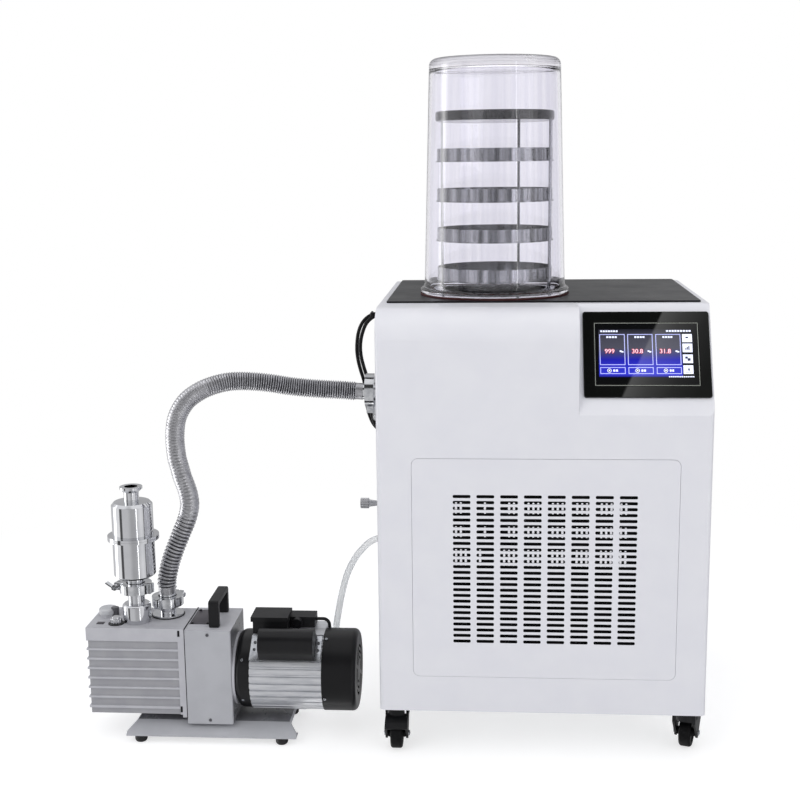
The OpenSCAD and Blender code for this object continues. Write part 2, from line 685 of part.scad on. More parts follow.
// ---- Release valve with the drain line, its knob, glands ----
knob_x = side_x - 31;
module release_valve() color(STEEL) difference() {
    union() {
        translate([side_x + sheet_t, trap_y, valve_z]) along_minus_x() cylinder(h = sheet_t + 2, r = 7);
        translate([side_x, trap_y, valve_z]) along_minus_x() cylinder(h = 5, r = 9.5, $fn = 6);
        translate([side_x - 5, trap_y, valve_z]) along_minus_x() cylinder(h = 15, r1 = 8, r2 = 4.4);
        translate([side_x - 20, trap_y, valve_z]) along_minus_x() cylinder(h = 15.6, r1 = 4.4, r2 = 6.6);
        translate([side_x - 25, trap_y, valve_z]) along_minus_x() cylinder(h = 18, r = 3);
        translate([side_x + sheet_t, trap_y, valve_z]) along_x() cylinder(h = trap_x - side_x - sheet_t, r = 5);
        translate([trap_x, trap_y, drain_z]) cylinder(h = trap_bottom - drain_z, r = 5);
        translate([trap_x, trap_y, drain_z]) sphere(r = 5);
        translate([side_x, trap_y, drain_z]) along_x() cylinder(h = trap_x - side_x, r = 5);
        translate([side_x + sheet_t + 5, trap_y, drain_z]) along_minus_x() cylinder(h = 5, r = 6);
        translate([side_x, trap_y, drain_z]) along_minus_x() cylinder(h = 4, r = 9, $fn = 6);
        translate([side_x - 4, trap_y, drain_z]) along_minus_x() cylinder(h = drain_out - 4, r = 6);
    }
    translate([side_x - 15, trap_y, drain_z]) along_x() cylinder(h = trap_x - side_x, r = 3);
}

module release_knob() color(STEEL) translate([knob_x - 5, trap_y, valve_z]) along_minus_x() difference() {
    linear_extrude(15) polygon([for (i = [0:47]) let (r = i % 2 == 0 ? 9.5 : 8.9)
        [r * cos(i * 7.5), r * sin(i * 7.5)]]);
    translate([0, 0, -1]) cylinder(h = 8.6, r = 3 + run);
}

module cable_glands() color(BLACK) for (y = gland_ys) for (z = [glands_up_z, glands_low_z])
    translate([side_x + sheet_t + 6, y, z]) along_minus_x() difference() {
        union() {
            cylinder(h = sheet_t + 6 + 1, r = 4);
            translate([0, 0, 4]) cylinder(h = 2, r = 5.5, $fn = 6);
            translate([0, 0, sheet_t + 6]) cylinder(h = 4, r = 5.8, $fn = 6);
            translate([0, 0, sheet_t + 9]) cylinder(h = gland_out - 3, r = 4);
        }
        translate([0, 0, -1]) cylinder(h = 3, r = CABLE_R);
    }

// ---- Jar, gasket and rack ----
module jar_gasket() color([0.25, 0.08, 0.08]) translate([trap_x, trap_y, plate_top]) difference() {
    cylinder(h = gasket_t, r = gasket_out);
    translate([0, 0, -1]) cylinder(h = gasket_t + 2, r = gasket_in);
}

module bell_jar() {
    top_in = jar_h - jar_top_t;
    color(CLEAR) translate([trap_x, trap_y, jar_z]) rotate_extrude($fn = 96) polygon(concat(
        [[jar_r - jar_t, 0], [jar_foot_r - 1, 0], [jar_foot_r, 1], [jar_foot_r, jar_foot_t - 2]],
        arc(jar_foot_r - 2, jar_foot_t - 2, 2, 0, 90, 3),
        arc(jar_r + 5, jar_foot_t + 5, 5, 270, 183, 4),
        arc(jar_top_r - 12, jar_h - 12, 12, 0, 90, 6),
        [[0, jar_h], [0, top_in]],
        arc(jar_top_r - jar_t - 8, top_in - 8, 8, 90, 0, 4)));
}

module rack_frame() color(STEEL) translate([trap_x, trap_y, 0]) {
    for (a = post_angles) rotate([0, 0, a]) translate([post_ring, 0, 0]) {
        translate([0, 0, rim_z]) cylinder(h = cover_z - rim_z, r = post_r, $fn = 24);
        translate([0, 0, rim_z]) cylinder(h = 4, r = 4.5, $fn = 24);
    }
    for (i = [0:tray_count - 1]) translate([0, 0, shelf_z0 + i * tray_pitch - shelf_t])
        cylinder(h = shelf_t, r = post_ring - post_r + 1.5);
}

module rack_cover() color([0.15, 0.15, 0.16]) translate([trap_x, trap_y, cover_z])
    rotate_extrude() polygon(concat([[0, 0], [cover_r - 3, 0]],
        arc(cover_r - 3, 3, 3, 270, 360, 3), arc(cover_r - 3, cover_t - 3, 3, 0, 90, 3), [[0, cover_t]]));

module trays() color(STEEL) for (i = [0:tray_count - 1])
    translate([trap_x, trap_y, shelf_z0 + i * tray_pitch]) difference() {
        cylinder(h = tray_h, r = tray_r);
        translate([0, 0, tray_t]) cylinder(h = tray_h, r = tray_r - tray_t);
    }

// ---- Refrigeration ----
module compressor() color(BLACK) translate([comp_x, comp_y, pan_top]) {
    translate([0, 0, 14]) rotate_extrude() polygon(concat([[0, 0], [comp_r - 22, 0]],
        arc(comp_r - 20, 22, 20, 270, 360, 5), arc(comp_r - 32, comp_h - 46, 32, 0, 90, 6),
        [[0, comp_h - 14]]));
    for (a = [45:90:315]) rotate([0, 0, a]) {
        translate([20, -12, 10]) cube([comp_r + 5, 24, 5]);
        translate([comp_r + 10, 0, 0]) cylinder(h = 12, r = 9);
    }
    translate([-40, 0, comp_h - 30]) cylinder(h = 44, r = 6);
}

module condenser() color(ALLOY) translate([cab_x, cond_y, pan_top]) {
    fins = 27;
    for (x = [-cond_w / 2, cond_w / 2 - 2]) translate([x, 0, 0]) cube([2, cond_d, cond_h]);
    for (i = [1:fins]) translate([-cond_w / 2 + i * cond_w / (fins + 1) - 0.5, 2, 20])
        cube([1, cond_d - 4, cond_h - 20]);
    for (j = [0:7]) for (y = [12, 28]) translate([0, y, 45 + j * 42 + (y > 20 ? 21 : 0)])
        along_x() cylinder(h = cond_w + 16, r = 4.5, center = true, $fn = 24);
}

module fan_shroud() color(BLACK) translate([cab_x, fan_y, fan_axis_z]) {
    difference() {
        translate([-cond_w / 2, 0, -fan_z + pan_t]) cube([cond_w, 2, cond_h]);
        translate([0, -1, 0]) rotate([-90, 0, 0]) cylinder(h = 4, r = fan_r + 5);
    }
    rotate([-90, 0, 0]) difference() {
        cylinder(h = 44, r = fan_r + 7);
        translate([0, 0, -1]) cylinder(h = 46, r = fan_r + 5);
    }
    rotate([-90, 0, 0]) {
        for (a = [45:90:315]) rotate([0, 0, a]) translate([20, -6, 38]) cube([fan_r - 14, 12, 3]);
        translate([0, 0, 38]) cylinder(h = 46, r = 34);
        translate([0, 0, 12]) cylinder(h = 28, r = 4);
    }
}

module fan_blades() color([0.3, 0.3, 0.32]) translate([cab_x, fan_y + 10, fan_axis_z]) rotate([-90, 0, 0])
    difference() {
        union() {
            cylinder(h = 24, r = 22);
            intersection() {
                for (a = [0:60:300]) rotate([0, 0, a])
                    translate([fan_r / 2, 0, 12]) rotate([28, 0, 0]) cube([fan_r, 44, 2], center = true);
                cylinder(h = 24, r = fan_r);
            }
        }
        translate([0, 0, -1]) cylinder(h = 40, r = 4 + run);
    }

// ---- Electrics ----
inlet_w = 30;
inlet_h = 62;
inlet_y = back_y - 90;
inlet_z = base_z + 90;
inlet_x = side_x + cab_w - 2 * sheet_t;

module control_box() color(STEEL) translate([side_x + cab_w - sheet_t - ctrl_w, seam_y + 60, base_z + ctrl_z])
    difference() {
        cube([ctrl_w, ctrl_d, ctrl_h]);
        translate([sheet_t, sheet_t, sheet_t]) cube([ctrl_w, ctrl_d, ctrl_h] - 2 * [sheet_t, sheet_t, sheet_t]);
    }

// Mains inlet and its rocker switch in one moulded frame
module power_inlet() color(BLACK) translate([side_x + cab_w, inlet_y, inlet_z]) difference() {
    union() {
        translate([0, -inlet_w / 2 - 4, -inlet_h / 2 - 4])
            cube([switch_proud, inlet_w + 8, inlet_h + 8]);
        translate([-30, -inlet_w / 2, -inlet_h / 2]) cube([31, inlet_w, inlet_h]);
    }
    translate([-18, -13, -27]) cube([30, 26, 28]);
    translate([-16, -10, 5]) cube([30, 20, 24]);
}

module power_rocker() color([0.5, 0.06, 0.06]) translate([side_x + cab_w, inlet_y, inlet_z + 17])
    rotate([0, -8, 0]) {
        translate([-9, -9.5, -10.5]) cube([13, 19, 21]);
        rotate([90, 0, 0]) cylinder(h = 19.8, r = 1.5, center = true);
    }

// ---- Hose ends and cords ----
module hose_flanges() color(STEEL) {
    translate([joint_x, trap_y, port_z]) along_minus_x() kf_stub(hose_neck);
    translate([inlet_at[0], inlet_at[1], inlet_joint]) kf_stub(hose_neck);
}

module vacuum_hose() color(ALLOY) tube(fitted(HOSE, [joint_x - hose_neck, trap_y, port_z],
    [inlet_at[0], inlet_at[1], inlet_joint + hose_neck]), HOSE_R, 12);
module drain_tube() color([0.88, 0.88, 0.9]) {
    from = [side_x - drain_out, trap_y, drain_z];
    e = DRAIN[len(DRAIN) - 1];
    tube(fitted(DRAIN, from, [from[0] + e[0], from[1] + e[1], DRAIN_R + play]), DRAIN_R, 10);
}
module sensor_cable(p, y) color(BLACK) tube(fitted(p, [side_x - gland_out, y, glands_up_z],
    [side_x - gland_out, y, glands_low_z]), CABLE_R, 8);
module sensor_cable_a() sensor_cable(CABLE_A, gland_ys[1]);
module sensor_cable_b() sensor_cable(CABLE_B, gland_ys[0]);

// A clamp around a flange joint: hinged halves, a cross bolt and its wing nut.
// The joint's axis is Z, the bolt is at -Y.
module clamp_half(s) difference() {
    union() {
        rotate_extrude() polygon([[clamp_r, -clamp_w / 2], [clamp_r, clamp_w / 2], [pipe_r + 2, clamp_w / 2],
            [pipe_r + 2, 6], [flange_r + 0.3, 2.8], [flange_r + 0.3, -2.8], [pipe_r + 2, -6],
            [pipe_r + 2, -clamp_w / 2]]);
        translate([s > 0 ? 0 : -9, -clamp_r - 10, -6]) cube([9, 14, 12]);
        translate([s > 0 ? 0 : -7, clamp_r - 4, -clamp_w / 2]) cube([7, 8, clamp_w]);
    }
    translate([s > 0 ? -60 + 1.2 : -1.2, -60, -30]) cube([60, 120, 60]);
    translate([-20, -clamp_r - 5, 0]) along_x() cylinder(h = 40, r = 2.4);
}

module clamp_bolt() {
    translate([-13, -clamp_r - 5, 0]) along_x() cylinder(h = 36, r = 2);
    translate([-13, -clamp_r - 5, 0]) along_x() cylinder(h = 3.7, r = 4.5, $fn = 6);
}

module wing_nut() translate([9.3, -clamp_r - 5, 0]) difference() {
    union() {
        along_x() cylinder(h = 8, r = 5);
        for (s = [-1, 1]) rotate([s * 62, 0, 0]) translate([3, -1.2, 2]) cube([8, 2.4, 15]);
    }
    translate([-1, 0, 0]) along_x() cylinder(h = 30, r = 2.1);
}

module flange_clamp() {
    clamp_half(1);
    clamp_half(-1);
    clamp_bolt();
    wing_nut();
}

module flange_clamps() color(ALLOY) {
    translate([joint_x, trap_y, port_z]) rotate([90, 0, 0]) rotate([0, 90, 0]) flange_clamp();
    translate([inlet_at[0], inlet_at[1], inlet_joint]) rotate([0, 0, 160]) flange_clamp();
    translate([exhaust_at[0], exhaust_at[1], exhaust_joint]) rotate([0, 0, -105]) flange_clamp();
}

// ---- Pump base ----
module pump_base() {
    x0 = pump_x + base_from;
    x1 = x0 + base_l;
    t = plate_base_t;
    ft = foot_h + t;
    profile = [[-base_in, base_top], [-base_out, ft], [-base_out, foot_h], [-foot_in, foot_h],
               [-foot_in, ft], [2 * t - base_out, ft], [1 - base_in, base_top - t],
               [base_in - 1, base_top - t], [base_out - 2 * t, ft], [foot_in, ft],
               [foot_in, foot_h], [base_out, foot_h], [base_out, ft], [base_in, base_top]];
    color(CAST) translate([0, pump_y, 0]) {
        difference() {
            x_extrude(x0, x1) polygon(profile);
            translate([0, 2 * base_out, 0]) along_minus_y() linear_extrude(4 * base_out) polygon([
                [x0 - 1, ft + t], [x0 + base_fold, base_top + 1], [x0 - 1, base_top + 1]]);
            translate([0, 2 * base_out, 0]) along_minus_y() linear_extrude(4 * base_out) polygon([
                [x1 + 1, ft + t], [x1 - base_fold, base_top + 1], [x1 + 1, base_top + 1]]);
        }
        for (x = [x0 + base_fold, x1 - base_fold - t])
            translate([x, 2 - base_in, base_top - base_fold + 1]) cube([t, 2 * base_in - 4, base_fold - 1 - t / 2]);
    }
}

module pump_feet() color(RUBBER) for (x = [base_from + foot_inset, base_from + base_l - foot_inset - 3])
    for (s = [-1, 1]) translate([pump_x + x, pump_y + s * (base_out - foot_r - 0.5), 0]) rotate_extrude() polygon([
        [0, 0], [foot_r - 2, 0], [foot_r, 3], [foot_r, foot_h], [0, foot_h]]);

// ---- Oil tank with what stands on it ----
module groove_ring(z, h) difference() {
    translate([pump_x - 1, pump_front - 1, z]) cube([tank_l - 11, tank_w + 2, h]);
    translate([pump_x + rib_d, pump_front + rib_d, z - 1]) cube([tank_l, tank_w - 2 * rib_d, h + 2]);
}

module oil_tank() {
    groove = rib_dz - 3.4;
    color(CAST) difference() {
        union() {
            difference() {
                translate([pump_x, pump_front, tank_z]) cube([tank_l, tank_w, tank_h]);
                for (i = [0:6]) groove_ring(tank_top - 23 - i * rib_dz - groove, groove);
                groove_ring(tank_z - 1, max(3, tank_h - 23 - 7 * rib_dz));
                for (z = [tank_z + 4, tank_top - 14]) translate([housing_x - 12, pump_front - 1, z])
                    cube([4, 5, 11]);
            }
            translate([housing_x - 8, pump_front, tank_z - 5]) cube([8, tank_w, 6]);
            translate([pump_x - sight_proud, pump_front + tank_w / 2, tank_z + 45]) along_x()
                cylinder(h = tank_wall, r = 15);
        }
        translate([pump_x + tank_wall, pump_front + tank_wall, tank_z + 8])
            cube([tank_l, tank_w - 2 * tank_wall, tank_h - 16]);
        translate([pump_x - sight_proud - 1, pump_front + tank_w / 2, tank_z + 45]) along_x()
            cylinder(h = 20, r = 9);
        for (p = [inlet_at, exhaust_at]) translate([p[0], p[1], tank_top - 20]) cylinder(h = 30, r = pipe_in);
    }
}

module filler_cap() color([0.6, 0.6, 0.62]) translate([cap_at[0], cap_at[1], tank_top]) {
    rotate_extrude() polygon([[0, 0], [14, 0], [14, 3], [16, 4], [16, 11], [14, 13], [0, 13]]);
    translate([13, -4, 0]) linear_extrude(15) polygon([for (i = [0:35]) let (r = i % 2 == 0 ? 6.1 : 6.7)
        [r * cos(i * 10), r * sin(i * 10)]]);
}

module ballast_knob() color(STEEL) translate([knob_at[0], knob_at[1], tank_top + play]) {
    linear_extrude(9) polygon([for (i = [0:35]) let (r = i % 3 == 0 ? 8.6 : 10)
        [r * cos(i * 10), r * sin(i * 10)]]);
    translate([0, 0, 8]) cylinder(h = 4, r = 7);
}

module pump_inlet() color(STEEL) translate([inlet_at[0], inlet_at[1], 0]) difference() {
    union() {
        translate([0, 0, tank_top]) cylinder(h = 4, r = 27);
        translate([0, 0, inlet_joint]) mirror([0, 0, 1]) kf_solid(inlet_joint - tank_top);
    }
    translate([0, 0, tank_top - 1]) cylinder(h = 40, r = pipe_in);
}

module exhaust_adapter() color(ALLOY) translate([exhaust_at[0], exhaust_at[1], 0]) difference() {
    union() {
        translate([0, 0, tank_top]) rotate_extrude() polygon([
            [0, 0], [22.5, 0], [22.5, 4], [24, 8], [24, 30], [21, 33], [0, 33]]);
        translate([0, 0, exhaust_joint]) mirror([0, 0, 1]) kf_solid(30);
    }
    translate([0, 0, tank_top - 1]) cylinder(h = 70, r = pipe_in);
}

// ---- Exhaust filter: two halves of a can, each with its own band flange ----
module filter_lower() color(STEEL) translate([exhaust_at[0], exhaust_at[1], 0]) difference() {
    union() {
        translate([0, 0, exhaust_joint]) kf_solid(22);
        translate([0, 0, can_z0]) rotate_extrude() polygon([[0, 0], [can_r - 5, 0], [can_r, 4],
            [can_r, can_low_h], [band_r, can_low_h], [band_r, can_low_h + band_h], [0, can_low_h + band_h]]);
    }
    translate([0, 0, exhaust_joint - 1]) cylinder(h = 40, r = pipe_in);
    translate([0, 0, can_z0 + 4]) cylinder(h = can_low_h + 20, r = can_r - can_t);
}

module filter_upper() color(STEEL) translate([exhaust_at[0], exhaust_at[1], band_z + band_h]) {
    difference() {
        union() {
            rotate_extrude() polygon([[0, 0], [band_r, 0], [band_r, band_h], [can_r - 0.6, band_h],
                [can_r - 0.6, band_h + can_up_h - 5], [can_r - 5, band_h + can_up_h], [0, band_h + can_up_h + 2]]);
            cylinder(h = outlet_z - band_z - band_h - 2, r = 12.6);
            translate([0, 0, outlet_z - band_z - band_h - 9]) rotate_extrude() polygon([
                [0, 0], [13, 0], [19, 5], [19, 9], [0, 9]]);
        }
        translate([0, 0, -1]) cylinder(h = band_h + can_up_h - 3, r = can_r - 0.6 - can_t);
        cylinder(h = 200, r = 11);
    }
}

// ---- Bearing housing, cover and handle ----
module housing_box(y0, y1, z0, z1, x_in = 0) translate([housing_x + x_in, y0, z0])
    cube([housing_l - 2 * x_in, y1 - y0, z1 - z0]);

module pump_housing() color(CAST) difference() {
    union() {
        housing_box(pump_front, pump_front + housing_w, base_top, housing_top);
        translate([housing_x + 3, pump_front + 23, housing_top]) cube([36, 74, 1.5]);
        translate([housing_x, pump_y, motor_z + vane_off]) along_minus_x() cylinder(h = 68, r = stator_r);
    }
    housing_box(pump_front - 1, pump_front + housing_w - 8, base_top + 9, housing_top - 9, 8);
    translate([housing_x - 60, pump_y, motor_z]) along_x() cylinder(h = housing_l + 70, r = shaft_r + run);
    translate([housing_x - 62, pump_y, motor_z + vane_off]) along_x() cylinder(h = 56, r = vane_bore);
}

module housing_cover() color(CAST) translate([housing_x + 1, pump_front - 2, base_top])
    cube([housing_l - 2, 2, housing_top - base_top - 1]);

module pump_handle() {
    x = housing_x + 48.5;
    y = pump_front + 17;
    leg = 11;
    outer = concat([[-leg / 2, 0]], arc(6 - leg / 2, handle_h - 6, 6, 180, 90, 5),
        arc(handle_span + leg / 2 - 6, handle_h - 6, 6, 90, 0, 5), [[handle_span + leg / 2, 0]]);
    inner = concat([[handle_span - leg / 2, 0]], arc(handle_span - leg / 2 - 3, handle_h - 12, 3, 0, 90, 3),
        arc(leg / 2 + 3, handle_h - 12, 3, 90, 180, 3), [[leg / 2, 0]]);
    color(BLACK) translate([0, y, housing_top]) x_extrude(x - 9, x + 9) polygon(concat(outer, inner));
}

// ---- Motor ----
module motor_end_bell() color(BLACK) translate([bell_x, pump_y, motor_z]) along_x() difference() {
    rotate_extrude() polygon(concat([[0, 0], [motor_r - 7, 0], [motor_r - 7, 4]],
        arc(motor_r - 14, 16, 12, 270, 360, 5), [[motor_r - 2, bell_l], [0, bell_l]]));
    translate([0, 0, -1]) cylinder(h = bell_l + 2, r = shaft_r + run);
    translate([0, 0, 6]) cylinder(h = bell_l, r = motor_r - 16);
}

module motor_body() {
    ribs = 33;
    outline = [for (i = [0:ribs - 1]) for (k = [0:4])
        let (a = i * 360 / ribs + [0, 3.4, 6.8, 7.8, 9.9][k], r = motor_r - [0.2, 0, 0.2, 3, 3][k])
        [r * cos(a), r * sin(a)]];
    color(ALLOY) difference() {
        union() {
            translate([motor_x, pump_y, motor_z]) along_x() linear_extrude(motor_l) polygon(outline);
            translate([motor_x + 6, pump_y - 22, motor_z + 40])
                cube([motor_l - 6, 68, motor_r - 40 + 0.5]);
        }
        translate([motor_x - 1, pump_y, motor_z]) along_x() cylinder(h = motor_l - 5, r = 45);
        translate([motor_x, pump_y, motor_z]) along_x() cylinder(h = motor_l + 10, r = shaft_r + run);
    }
}

module motor_rotor() color(STEEL) translate([0, pump_y, motor_z]) {
    translate([housing_x - 59, 0, 0]) along_x() cylinder(h = cowl_x + 26 - housing_x + 59, r = shaft_r);
    translate([housing_x - 60, 0, 0]) along_x() cylinder(h = 52, r = vane_r);
    translate([motor_x + 16, 0, 0]) along_x() cylinder(h = motor_l - 36, r = 44);
    translate([housing_x + 24, 0, 0]) along_x() cylinder(h = 34, r = 20);
    translate([cowl_x + 6, 0, 0]) along_x() {
        cylinder(h = 16, r = 20);
        for (a = [0:45:315]) rotate([0, 0, a]) translate([15, -1.5, 2]) cube([fan_cover_r - 30, 3, 14]);
    }
}

module fan_cover() color(BLACK) translate([cowl_x, pump_y, motor_z]) along_x() difference() {
    rotate_extrude() polygon(concat([[0, 0], [fan_cover_r, 0]],
        arc(fan_cover_r - 9, fan_cover_l - 9, 9, 0, 90, 5), [[0, fan_cover_l]]));
    translate([0, 0, -1]) cylinder(h = fan_cover_l - 2, r = fan_cover_r - 14);
    translate([0, 0, -1]) cylinder(h = fan_cover_l - 13, r = fan_cover_r - 2.5);
    for (r = [18, 28, 38]) difference() {
        translate([0, 0, fan_cover_l - 8]) cylinder(h = 20, r = r + 5);
        translate([0, 0, fan_cover_l - 9]) cylinder(h = 22, r = r);
        for (a = [0:60:120]) rotate([0, 0, a]) translate([-60, -3, fan_cover_l - 9]) cube([120, 6, 22]);
    }
}

// ---- Boxes on the motor ----
pad_z = motor_z + motor_r + 0.5;
box_x = motor_x - 2.2;
box_l = 63.5;
box_w = 52;
box_front = 24;
box_h = 30;
switch_l = 45;
switch_w = 33;
switch_h = 18.5;
switch_x = box_x + box_l;
boot_z = pad_z + 9.5;
switch_y = pump_y + 13;

module terminal_box() color(BLACK) difference() {
    union() {
        translate([box_x + 3, pump_y - box_front + 3, pad_z]) cube([box_l - 5, box_w - 6, box_h - 7]);
        translate([box_x, pump_y - box_front, pad_z + box_h - 8]) cube([box_l, box_w, 8]);
        translate([switch_x - 4, switch_y, pad_z]) cube([switch_l, switch_w, switch_h]);
        translate([switch_x + 11, switch_y + 1, boot_z]) along_minus_y() cylinder(h = 12, r = 9);
        translate([switch_x + switch_l - 6, switch_y + 10, pad_z + 12.5]) {
            along_x() cylinder(h = 15.01, r = 2.8, $fn = 24);
            translate([15, 0, -11]) rotate([90, 0, 0]) rotate_extrude(angle = 90, $fn = 96)
                translate([11, 0]) circle(r = 2.8, $fn = 24);
            translate([26, 0, -15]) cylinder(h = 4.01, r = 2.8, $fn = 24);
        }
    }
    translate([switch_x + 11, switch_y - 1, boot_z]) along_minus_y() cylinder(h = 20, r = 7.7);
}

module pump_rocker() color([0.15, 0.15, 0.15]) translate([switch_x + 11, switch_y - 6, boot_z])
    rotate([-8, 0, 0]) {
        rotate([90, 0, 0]) translate([0, 0, -2.5]) cylinder(h = 5, r = 7.1);
        rotate([0, 90, 0]) cylinder(h = 15, r = 1.2, center = true);
    }

module capacitor_cover() {
    l = 92.4;
    outline = concat([[-25, 0]], arc(0, 15, 24, 176, 4, 10), [[25, 0]]);
    color(BLACK) translate([motor_x + 17.5, pump_y, motor_z]) rotate([39, 0, 0]) {
        translate([0, 0, motor_r + 1.5]) x_extrude(0, l) polygon(outline);
        translate([-16.5, -20, motor_r]) cube([l + 27.5, 40, 2]);
    }
}

base_frame();
front_shell();
grille_panel();
cabinet_wrap();
top_panel();
top_plate();
screen_bezel();
touch_screen();
cold_trap();
trap_insulation();
evaporator_coil();
vacuum_port();
release_valve();
release_knob();
cable_glands();
jar_gasket();
bell_jar();
rack_frame();
rack_cover();
trays();
compressor();
condenser();
fan_shroud();
fan_blades();
control_box();
power_inlet();
power_rocker();
at_caster(0, 0, 0) fork();  // caster_fork_fl
at_caster(1, 0, 162) fork();  // caster_fork_fr
at_caster(0, 1, 180) fork();  // caster_fork_rl
at_caster(1, 1, 180) fork();  // caster_fork_rr
at_caster(0, 0, 0) wheel();  // caster_wheel_fl
at_caster(1, 0, 162) wheel();  // caster_wheel_fr
at_caster(0, 1, 180) wheel();  // caster_wheel_rl
at_caster(1, 1, 180) wheel();  // caster_wheel_rr
vacuum_hose();
hose_flanges();
drain_tube();
sensor_cable_a();
sensor_cable_b();
pump_base();
pump_feet();
oil_tank();
filler_cap();
ballast_knob();
pump_housing();
housing_cover();
pump_handle();
motor_end_bell();
motor_body();
motor_rotor();
fan_cover();
terminal_box();
pump_rocker();
capacitor_cover();
pump_inlet();
exhaust_adapter();
filter_lower();
filter_upper();
flange_clamps();
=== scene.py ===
"""Looks of the freeze dryer: finishes, soft edges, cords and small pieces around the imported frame."""
import logging
import math
from dataclasses import dataclass
from enum import Enum
from typing import Any, Callable, Iterable, Sequence

import bmesh
import bpy
from mathutils import Matrix, Vector


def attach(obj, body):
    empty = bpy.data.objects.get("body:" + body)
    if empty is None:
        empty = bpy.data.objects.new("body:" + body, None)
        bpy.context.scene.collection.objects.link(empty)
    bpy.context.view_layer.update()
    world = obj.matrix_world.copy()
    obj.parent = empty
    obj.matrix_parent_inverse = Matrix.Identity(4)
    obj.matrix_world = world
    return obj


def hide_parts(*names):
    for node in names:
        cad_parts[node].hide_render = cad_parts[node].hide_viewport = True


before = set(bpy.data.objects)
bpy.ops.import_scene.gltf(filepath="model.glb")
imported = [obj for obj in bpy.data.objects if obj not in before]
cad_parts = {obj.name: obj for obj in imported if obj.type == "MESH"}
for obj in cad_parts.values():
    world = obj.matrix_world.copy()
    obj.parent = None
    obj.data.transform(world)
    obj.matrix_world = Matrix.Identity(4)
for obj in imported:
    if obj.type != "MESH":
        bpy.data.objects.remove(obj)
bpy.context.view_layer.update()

logging.basicConfig(level=logging.INFO, format="%(name)s: %(message)s")
LOG = logging.getLogger("freeze_dryer")

MM = 0.001
# Vertices nearer than this, in metres, are one.
MERGE = 2e-6
# Widest bend in degrees between faces that count as one flat face.
FLAT = 0.6
# Edges shorter than this, in metres, are dropped.
SLIVER = 1e-6
# Points of a spun outline nearer than this, in metres, are one.
TINY = 1e-7
# Short steps that a cord's curve takes between two points of its route.
FINE = 24
# The white of the surround.
WHITE = (1, 1, 1, 1)
# Nearly all values of a noise lie between these two, and a surface changes its tone between the next two.
NOISE_RANGE = (0.3, 0.7)
TONE_RANGE = (0.35, 0.65)
# Roughness of a clear coat.
COAT_ROUGH = 0.06
# A face looks along an axis where its normal's part along it is more than this.
FACING = 0.9
# Width of a cord's bore over its outside.
BORE = 0.7
Point = Sequence[float]
Stops = Sequence[tuple[float, Point]]
Tree = bpy.types.NodeTree
Socket = bpy.types.NodeSocket
Mesh = bmesh.types.BMesh
Face = bmesh.types.BMFace
Vert = bmesh.types.BMVert


class Body(Enum):
    """The bodies that pieces ride on."""

    DRYER = "dryer"
    CASTER_FL = "caster_fl"
    CASTER_FR = "caster_fr"
    CASTER_RL = "caster_rl"
    CASTER_RR = "caster_rr"
    WHEEL_FL = "wheel_fl"
    WHEEL_FR = "wheel_fr"
    WHEEL_RL = "wheel_rl"
    WHEEL_RR = "wheel_rr"
    FAN = "condenser_fan"
    ROTOR = "pump_rotor"
    MAINS = "mains_rocker"
    PUMP_SWITCH = "pump_switch_rocker"
    VALVE_KNOB = "release_valve_knob"
    BALLAST = "gas_ballast_knob"


class Axis(Enum):
    """Directions along which a surface was turned, brushed or drawn."""

    X = 0
    Y = 1
    Z = 2


# ---------------------------------------------------------------- finishes


def linear(code: str, alpha: float = 1.0) -> tuple[float, float, float, float]:
    """Turns an sRGB hex colour to linear.

    Args:
        code: Six hex digits.
        alpha: The fourth value.

    Returns:
        Linear red, green, blue and alpha.
    """
    parts = [int(code[i : i + 2], 16) / 255 for i in (0, 2, 4)]
    r, g, b = [c / 12.92 if c <= 0.04045 else ((c + 0.055) / 1.055) ** 2.4 for c in parts]
    return (r, g, b, alpha)


def add(
    tree: Tree, kind: str, inputs: dict[Any, Any] | Sequence[Any] = (), stops: Stops = (), **settings: Any
) -> bpy.types.Node:
    """Adds one shader node with its settings and links.

    Args:
        tree: The node tree.
        kind: The node's type name, without its ShaderNode.
        inputs: Values in the order of the sockets, or by their name or number. A socket is linked.
        stops: Places and linear colours of a colour ramp, at least two.
        **settings: Attributes of the node.

    Returns:
        The new node.
    """
    node = tree.nodes.new("ShaderNode" + kind)
    for key, value in settings.items():
        setattr(node, key, value)
    for key, value in inputs.items() if isinstance(inputs, dict) else enumerate(inputs):
        if isinstance(value, Socket):
            tree.links.new(value, node.inputs[key])
        else:
            node.inputs[key].default_value = value
    if stops:
        ends = node.color_ramp.elements
        while len(ends) < len(stops):
            ends.new(0.5)
        for end, (place, colour) in zip(ends, stops):
            end.position, end.color = place, colour
    return node


